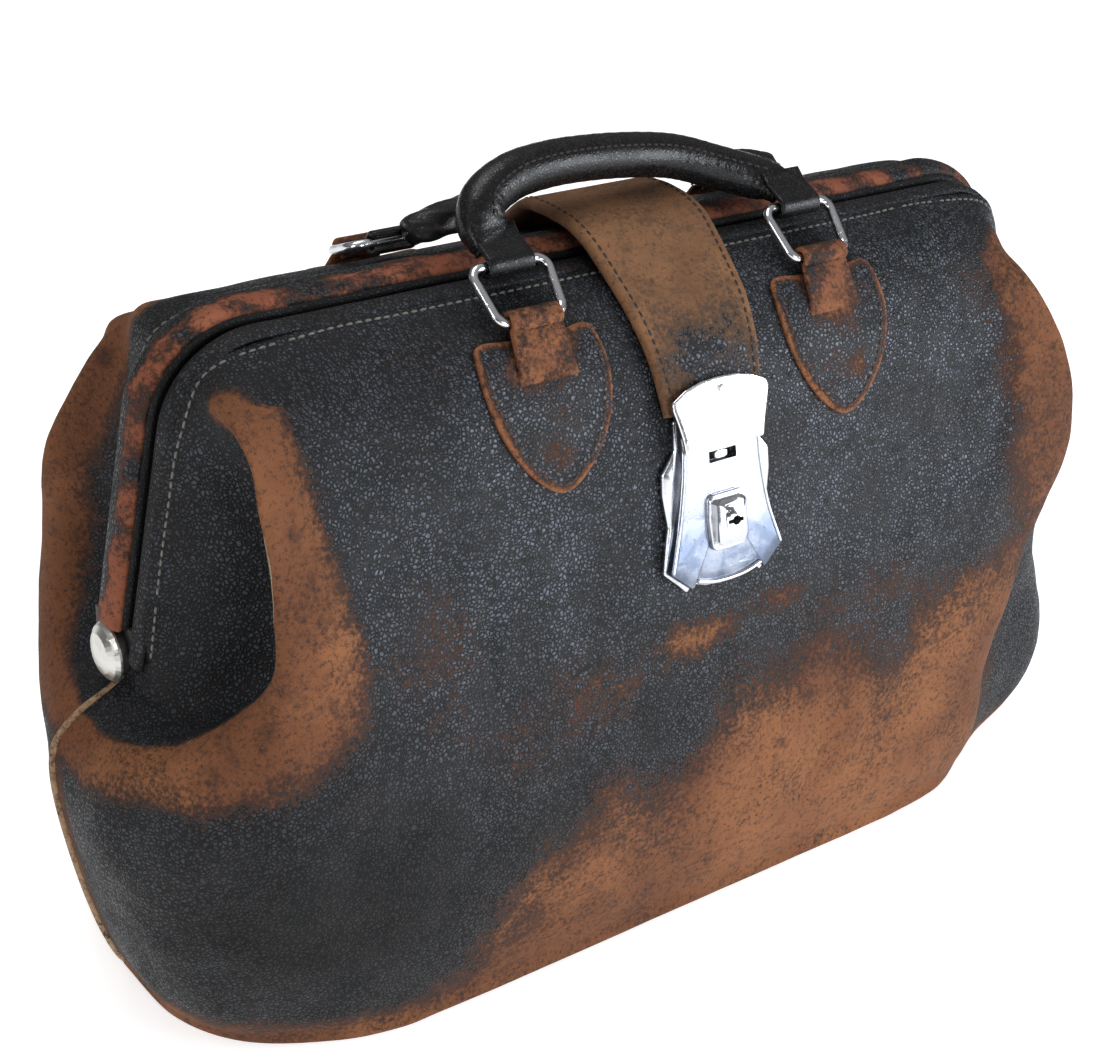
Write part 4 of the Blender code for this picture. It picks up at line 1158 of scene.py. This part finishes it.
def build_stub(side_name, sign, materials):
    """Torn end of the rear handle, still on its ring."""
    body = "rear_ring_" + side_name
    low = (-LOW_BAR[0], LOW_BAR[1])
    top = (low[0] + math.cos(REAR_LEAN) * RING_SPAN, low[1] + math.sin(REAR_LEAN) * RING_SPAN)
    knots = [(REAR_RING_X - 1.0, top[0] - 9.4, top[1] + 5.8), (80.0, top[0] - 9.4, top[1] + 6.6),
             (72.0, top[0] - 8.8, top[1] + 7.6), (62.0, top[0] - 7.4, top[1] + 8.3),
             (54.0, top[0] - 6.2, top[1] + 8.6), (49.0, top[0] - 5.8, top[1] + 8.6)]
    line = hermite(np.array([(sign * x, y, z) for x, y, z in knots]), np.linspace(0, 1, 44))
    tangent = frames_along(line)
    local = np.random.default_rng(70 + int(sign))
    sections = []
    teeth = local.uniform(-2.6, 2.2, 33)
    for k, (p, t) in enumerate(zip(line, tangent)):
        share = k / 43.0
        wide = 5.4 + 1.7 * math.sin(min(share * 1.6, 1.0) * math.pi / 2)
        side = np.cross(t, (0.0, 0.0, 1.0))
        side /= np.linalg.norm(side)
        up = np.cross(side, t)
        torn = np.clip((share - 0.72) / 0.28, 0, 1)
        ring = []
        for j, a in enumerate(turn(33)):
            lump = 1.0 + 0.05 * math.sin(5 * a + k * 0.5) + 0.10 * torn * math.sin(9 * a + j)
            ring.append((p + side * (wide * lump * math.cos(a)) + up * (wide * 0.85 * lump * math.sin(a))
                         + t * (teeth[j] * torn)) * MM)
        sections.append(ring)
    # the torn end is hollow: the last rings fold inside
    for shrink, back in ((0.72, 0.6), (0.55, 5.0), (0.25, 7.5)):
        centre = line[-1] * MM
        sections.append([centre + (np.array(q) - centre) * shrink - tangent[-1] * back * MM
                         for q in sections[43]])
    stub = sections_object("rear_stub_look_" + side_name, sections, materials["handle"])
    co = coordinates(stub)
    inner = np.abs(co[:, 0]) / MM < 56
    finish_look(stub, 0.12 + 0.35 * smooth_noise(co, 90.0, 71) + 0.3 * inner, 0.4)
    settle(stub, "handle_leather", body, "rear_stub_" + side_name)
    path = loop_path(top, LOOP_R, 195, 475, 24)
    loop = strip("rear_stub_loop_look_" + side_name, np.array(path), 2.2, [(0, 8.6), (1, 8.6)],
                 materials["handle"], sign * REAR_RING_X)
    co = coordinates(loop)
    finish_look(loop, 0.2 + 0.3 * smooth_noise(co, 80.0, 72), 0.4)
    settle(loop, "handle_leather", body, "rear_stub_loop_" + side_name)


# ---------------------------------------------------------------- lock
CASE_HALF = [(0.0, 65.5), (17.8, 65.5), (18.3, 76.0), (19.0, 86.0), (20.4, 96.0), (22.6, 107.0),
             (26.8, 121.0), (19.6, 127.0), (17.2, 129.0), (15.6, 126.4), (8.0, 128.6), (0.0, 129.2)]
BACK_HALF = [(0.0, 65.2), (18.4, 65.2), (19.2, 76.5), (25.2, 84.0), (25.4, 92.0), (23.6, 104.0),
             (27.6, 121.4), (20.6, 127.8), (17.6, 131.0), (15.4, 128.0), (8.0, 130.4), (0.0, 131.0)]
HASP_HALF = [(0.0, 53.2), (8.0, 53.6), (15.5, 55.2), (22.0, 58.2), (22.4, 60.4), (20.6, 66.0),
             (19.0, 72.0), (18.2, 77.4), (9.0, 77.0), (0.0, 76.8)]
CASE_LOW, CASE_TOP = 0.35, 5.9
HASP_LOW = 6.8


def sharp_outline(half, count):
    """Closed outline with straight sides and only slightly eased corners."""
    points = np.asarray(mirrored_outline(half), float)
    following = np.roll(points, -1, axis=0)
    length = np.linalg.norm(following - points, axis=1, keepdims=True)
    ease = np.minimum(0.5 / length, 0.25)
    pairs = np.stack([points + (following - points) * ease, following - (following - points) * ease], axis=1)
    return resample(pairs.reshape(-1, 2), count)


def build_lock(materials):
    back = plate("lock_backplate_look", FRONT, sharp_outline(BACK_HALF, 260), CASE_LOW, 2.4,
                 materials["nickel"], 0.5, rings=3)
    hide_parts("lock_backplate")
    case = plate("lock_case_look", FRONT, sharp_outline(CASE_HALF, 260), 2.3, CASE_TOP,
                 materials["case"], 0.6, dome=0.5, rings=7)
    # Painted shadow: a dark sheet at the bottom of the slot, so that the slot reads as deep shade.
    slot_shadow = plate("lock_slot_shadow", FRONT, resample(rectangle(6.3, 78.8, 82.8), 24), 2.4, 3.0,
                       materials["shadow_metal"], 0.1, rings=1)
    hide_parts("lock_case")
    cut(case, [box_on_panel(-6.4, 6.4, 78.7, 82.9, 2.9, 9.0)])
    co = coordinates(case)
    # Painted shade: how far each point lies below the case's middle, which darkens the case's colour there.
    set_attribute(case, "low", np.clip((FRONT.at(0.0, 92.0)[2] - co[:, 2]) / (18.0 * MM), 0.0, 1.0))
    curve = [(-15.0, 126.2), (-8.0, 128.0), (0.0, 128.5), (8.0, 128.0), (15.0, 126.2)]
    lip = sweep_on_panel("lock_lip", curve, CASE_TOP + 0.2, 0.9, materials["nickel"])
    rims = []
    for name, sign in (("left", -1.0), ("right", 1.0)):
        side = [(sign * (px - 1.0), ps) for px, ps in CASE_HALF[2:7]]
        rims.append(sweep_on_panel("lock_rim_" + name, side, CASE_TOP + 0.05, 0.55, materials["nickel"]))
    for piece in (back, case, slot_shadow, lip, *rims):
        settle(piece, "nickel", "front_jaw")

    base = sharp_outline([(0.0, 94.6), (6.6, 94.6), (8.4, 96.6), (8.9, 104.0), (8.0, 115.0), (6.6, 116.6),
                          (0.0, 116.8)], 120)
    boss = plate("lock_boss_look", FRONT, base, CASE_TOP + 0.3, CASE_TOP + 2.2, materials["nickel"], 0.5)
    crown = faceted("lock_boss_crown", materials["nickel"])
    keyhole = [box_on_panel(-3.6, 3.6, 104.4, 106.0, CASE_TOP + 3.0, 16.0),
               disc_on_panel(0.4, 105.2, 1.9, CASE_TOP + 3.0, 16.0)]
    cut(crown, keyhole)
    # Painted shadow: a dark sheet inside the keyhole, so that it reads dark.
    key_shadow = plate("lock_key_shadow", FRONT, resample(rectangle(4.2, 102.6, 107.8), 24),
                      CASE_TOP + 2.4, CASE_TOP + 3.3, materials["shadow_metal"], 0.1, rings=1)
    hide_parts("lock_boss")
    catch = plate("lock_catch_look", FRONT, resample(rounded(rectangle(3.0, 79.2, 82.4), 1), 40),
                  3.0, 5.4, materials["dome"], 0.3)
    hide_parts("lock_catch")
    for piece in (boss, crown, key_shadow, catch):
        settle(piece, "nickel", "lock_slider")

    hasp = plate("hasp_look", FRONT, sharp_outline(HASP_HALF, 220), HASP_LOW, HASP_LOW + 1.7,
                 materials["bright"], 0.4, dome=0.3, rings=7)
    rivet = plate("hasp_rivet_look", FRONT, circle(0.0, 57.2, 1.5), HASP_LOW + 1.7, HASP_LOW + 2.7,
                  materials["dome"], 0.5, dome=0.2, rings=2)
    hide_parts("hasp_plate")
    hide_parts("hasp_rivet")
    for piece in (hasp, rivet):
        settle(piece, "nickel", "strap")
    paint("hasp_tongue", materials["dome"])


def faceted(name, material):
    """The boss's upper part: a raised block with sloping sides and a flat face."""
    sections = []
    for height, half_w, low, high in ((2.0, 6.8, 96.4, 114.6), (4.6, 6.8, 96.4, 114.6),
                                      (6.4, 5.0, 98.6, 112.2)):
        near, far = half_w - 1.6, half_w
        outline = np.array([(-near, low), (near, low), (far, low + 1.8), (far, high - 1.8),
                            (near, high), (-near, high), (-far, high - 1.8), (-far, low + 1.8)])
        sections.append(FRONT.at(outline[:, 0], outline[:, 1], CASE_TOP + height))
    return sections_object(name, sections, material)


def sweep_on_panel(name, points, height, r, material):
    """A round bead along a line on the panel."""
    line = hermite(np.array(points, float), np.linspace(0, 1, 60))
    centre = FRONT.at(line[:, 0], line[:, 1], height)
    tangent = frames_along(centre)
    sections = []
    for p, t, n in zip(centre, tangent, FRONT.normal(line[:, 1])):
        side = np.cross(t, n)
        sections.append([p + (side * math.cos(a) + n * math.sin(a)) * r * MM
                         for a in turn(12)])
    return sections_object(name, sections, material)


def circle(x, s, r, steps=28):
    return np.array([(x + r * math.cos(a), s + r * math.sin(a)) for a in turn(steps)])


def rectangle(half_x, low, high):
    return np.array([(-half_x, low), (half_x, low), (half_x, high), (-half_x, high)], float)


def prism(outline, low, high):
    """Cutter: an outline on the panel, between two heights."""
    bottom = FRONT.at(outline[:, 0], outline[:, 1], low)
    top = FRONT.at(outline[:, 0], outline[:, 1], high)
    count = len(outline)
    faces = grid_faces(2, count, close_cols=True)
    faces += [tuple(reversed(range(count))), tuple(range(count, 2 * count))]
    obj = mesh_object("cutter", np.vstack([bottom, top]), faces, smooth=False)
    fix_normals(obj)
    return obj


def box_on_panel(x0, x1, s0, s1, low, high):
    return prism(np.array([(x0, s0), (x1, s0), (x1, s1), (x0, s1)], float), low, high)


def disc_on_panel(x, s, r, low, high):
    return prism(circle(x, s, r), low, high)


def cut(obj, cutters):
    for cutter in cutters:
        modifier = obj.modifiers.new("cut", "BOOLEAN")
        modifier.operation = "DIFFERENCE"
        modifier.solver = "EXACT"
        modifier.object = cutter
        bpy.context.view_layer.update()
        apply_modifiers(obj)
        bpy.data.objects.remove(cutter, do_unlink=True)
    obj.data.shade_smooth()
    obj.data.set_sharp_from_angle(angle=math.radians(35))


# ---------------------------------------------------------------- stitching along the frame
STITCH_INSET = 3.6


def frame_stitches(halves, materials):
    """A grey row along the leather's edge on each jaw."""
    for name, body, sign in (("front_leather", "front_jaw", 1.0), ("rear_leather", "rear_jaw", -1.0)):
        control = halves[name]
        u = np.linspace(2.0 / 22, 20.0 / 22, 900)
        first = surface(control, u, np.linspace(0.0, 0.2, 41))
        arc = np.concatenate([np.zeros((len(u), 1)),
                              np.cumsum(np.linalg.norm(np.diff(first, axis=1), axis=2), axis=1)], axis=1)
        points = []
        for k in range(len(u)):
            points.append([np.interp(STITCH_INSET, arc[k], first[k, :, i]) for i in range(3)])
        points = np.array(points)
        deeper = np.array([[np.interp(STITCH_INSET + 1.2, arc[k], first[k, :, i]) for i in range(3)]
                           for k in range(len(u))])
        along = frames_along(points)
        normals = np.cross(deeper - points, along) * sign
        normals /= np.linalg.norm(normals, axis=1, keepdims=True)
        outward = points - np.array([0.0, 0.0, 120.0])
        flip = np.sign((normals * outward).sum(axis=1))
        normals *= flip[:, None]
        row = stitch_row(name.replace("leather", "stitches"), (points + normals * 0.1) * MM, normals,
                         materials["grey_thread"], 0.0036, 0.0010, 0.0005, 0.74, 0.02)
        settle(row, "black_leather", body)


def all_materials():
    return {
        "leather": leather_material("body_leather"),
        "shield": leather_material("shield_leather", brown=(0.20, 0.070, 0.030), grain=620.0, pebble=0.00016),
        "strap": leather_material("strap_leather", brown=(0.130, 0.060, 0.027), pale=(0.215, 0.104, 0.047),
                                  dark_brown=(0.060, 0.034, 0.020), grain=520.0),
        "handle": leather_material("handle_leather", black=(0.007, 0.007, 0.007), grain=700.0, pebble=0.00004,
                                   shine=0.30, painted_glint_color=(0.02, 0.02, 0.022)),
        "cap": leather_material("cap_leather", brown=(0.185, 0.055, 0.026), pale=(0.26, 0.085, 0.042),
                                grain=600.0, pebble=0.00012),
        "edge": leather_material("edge_leather", grain=600.0, pebble=0.0002),
        "welt": leather_material("welt_leather", brown=(0.30, 0.19, 0.11), pale=(0.42, 0.29, 0.18), worn=0.9,
                                 grain=700.0, pebble=0.0002),
        "lining": lining_material(),
        "nickel": metal_material("nickel", base=(0.66, 0.67, 0.70)),
        # case: darker nickel, with painted shade on its lower part.
        "case": metal_material("case_nickel", base=(0.40, 0.42, 0.47), rough=0.15, dull=(0.25, 0.25, 0.26),
                               shaded=(0.12, 0.145, 0.20)),
        "bright": metal_material("bright_nickel", base=(0.86, 0.86, 0.87), rough=0.07, scratches=0.25),
        # A dark metal used only for the painted shadow sheets in the lock's slot and keyhole.
        "shadow_metal": metal_material("painted_shadow_metal", base=(0.035, 0.033, 0.032), rough=0.45,
                               dull=(0.02, 0.015, 0.012)),
        "dome": metal_material("dull_nickel", base=(0.62, 0.61, 0.57), rough=0.26, scratches=0.8),
        "steel": metal_material("steel", base=(0.10, 0.095, 0.09), rough=0.55, dull=(0.06, 0.035, 0.022)),
        "board": thread_material("board", (0.25, 0.18, 0.11), (0.12, 0.08, 0.05)),
        "grey_thread": thread_material("grey_thread", (0.24, 0.23, 0.20), (0.10, 0.10, 0.09)),
        "brown_thread": thread_material("brown_thread", (0.13, 0.065, 0.035), (0.03, 0.018, 0.012)),
        "dark_thread": thread_material("dark_thread", (0.055, 0.04, 0.03), (0.015, 0.012, 0.010)),
    }


def main():
    add_camera()
    add_studio()
    materials = all_materials()
    halves = build_body(materials)
    welts(halves, materials)
    build_frame(materials)
    frame_stitches(halves, materials)
    rear_bar = (-LOW_BAR[0], LOW_BAR[1])
    for side, sign in (("left", -1.0), ("right", 1.0)):
        build_ring("front_ring_look_" + side, "front_ring_" + side, sign * FRONT_RING_X, LOW_BAR,
                   RING_LEAN, "front_rings", materials)
        build_ring("rear_ring_look_" + side, "rear_ring_" + side, sign * REAR_RING_X, rear_bar,
                   REAR_LEAN, "rear_ring_" + side, materials)
        build_shield(side, sign, FRONT, LOW_BAR, "front_jaw", materials)
        build_shield(side, sign, BACK, rear_bar, "rear_jaw", materials, rear=True)
        build_stub(side, sign, materials)
    build_strap(materials)
    build_handle(materials)
    build_lock(materials)


main()
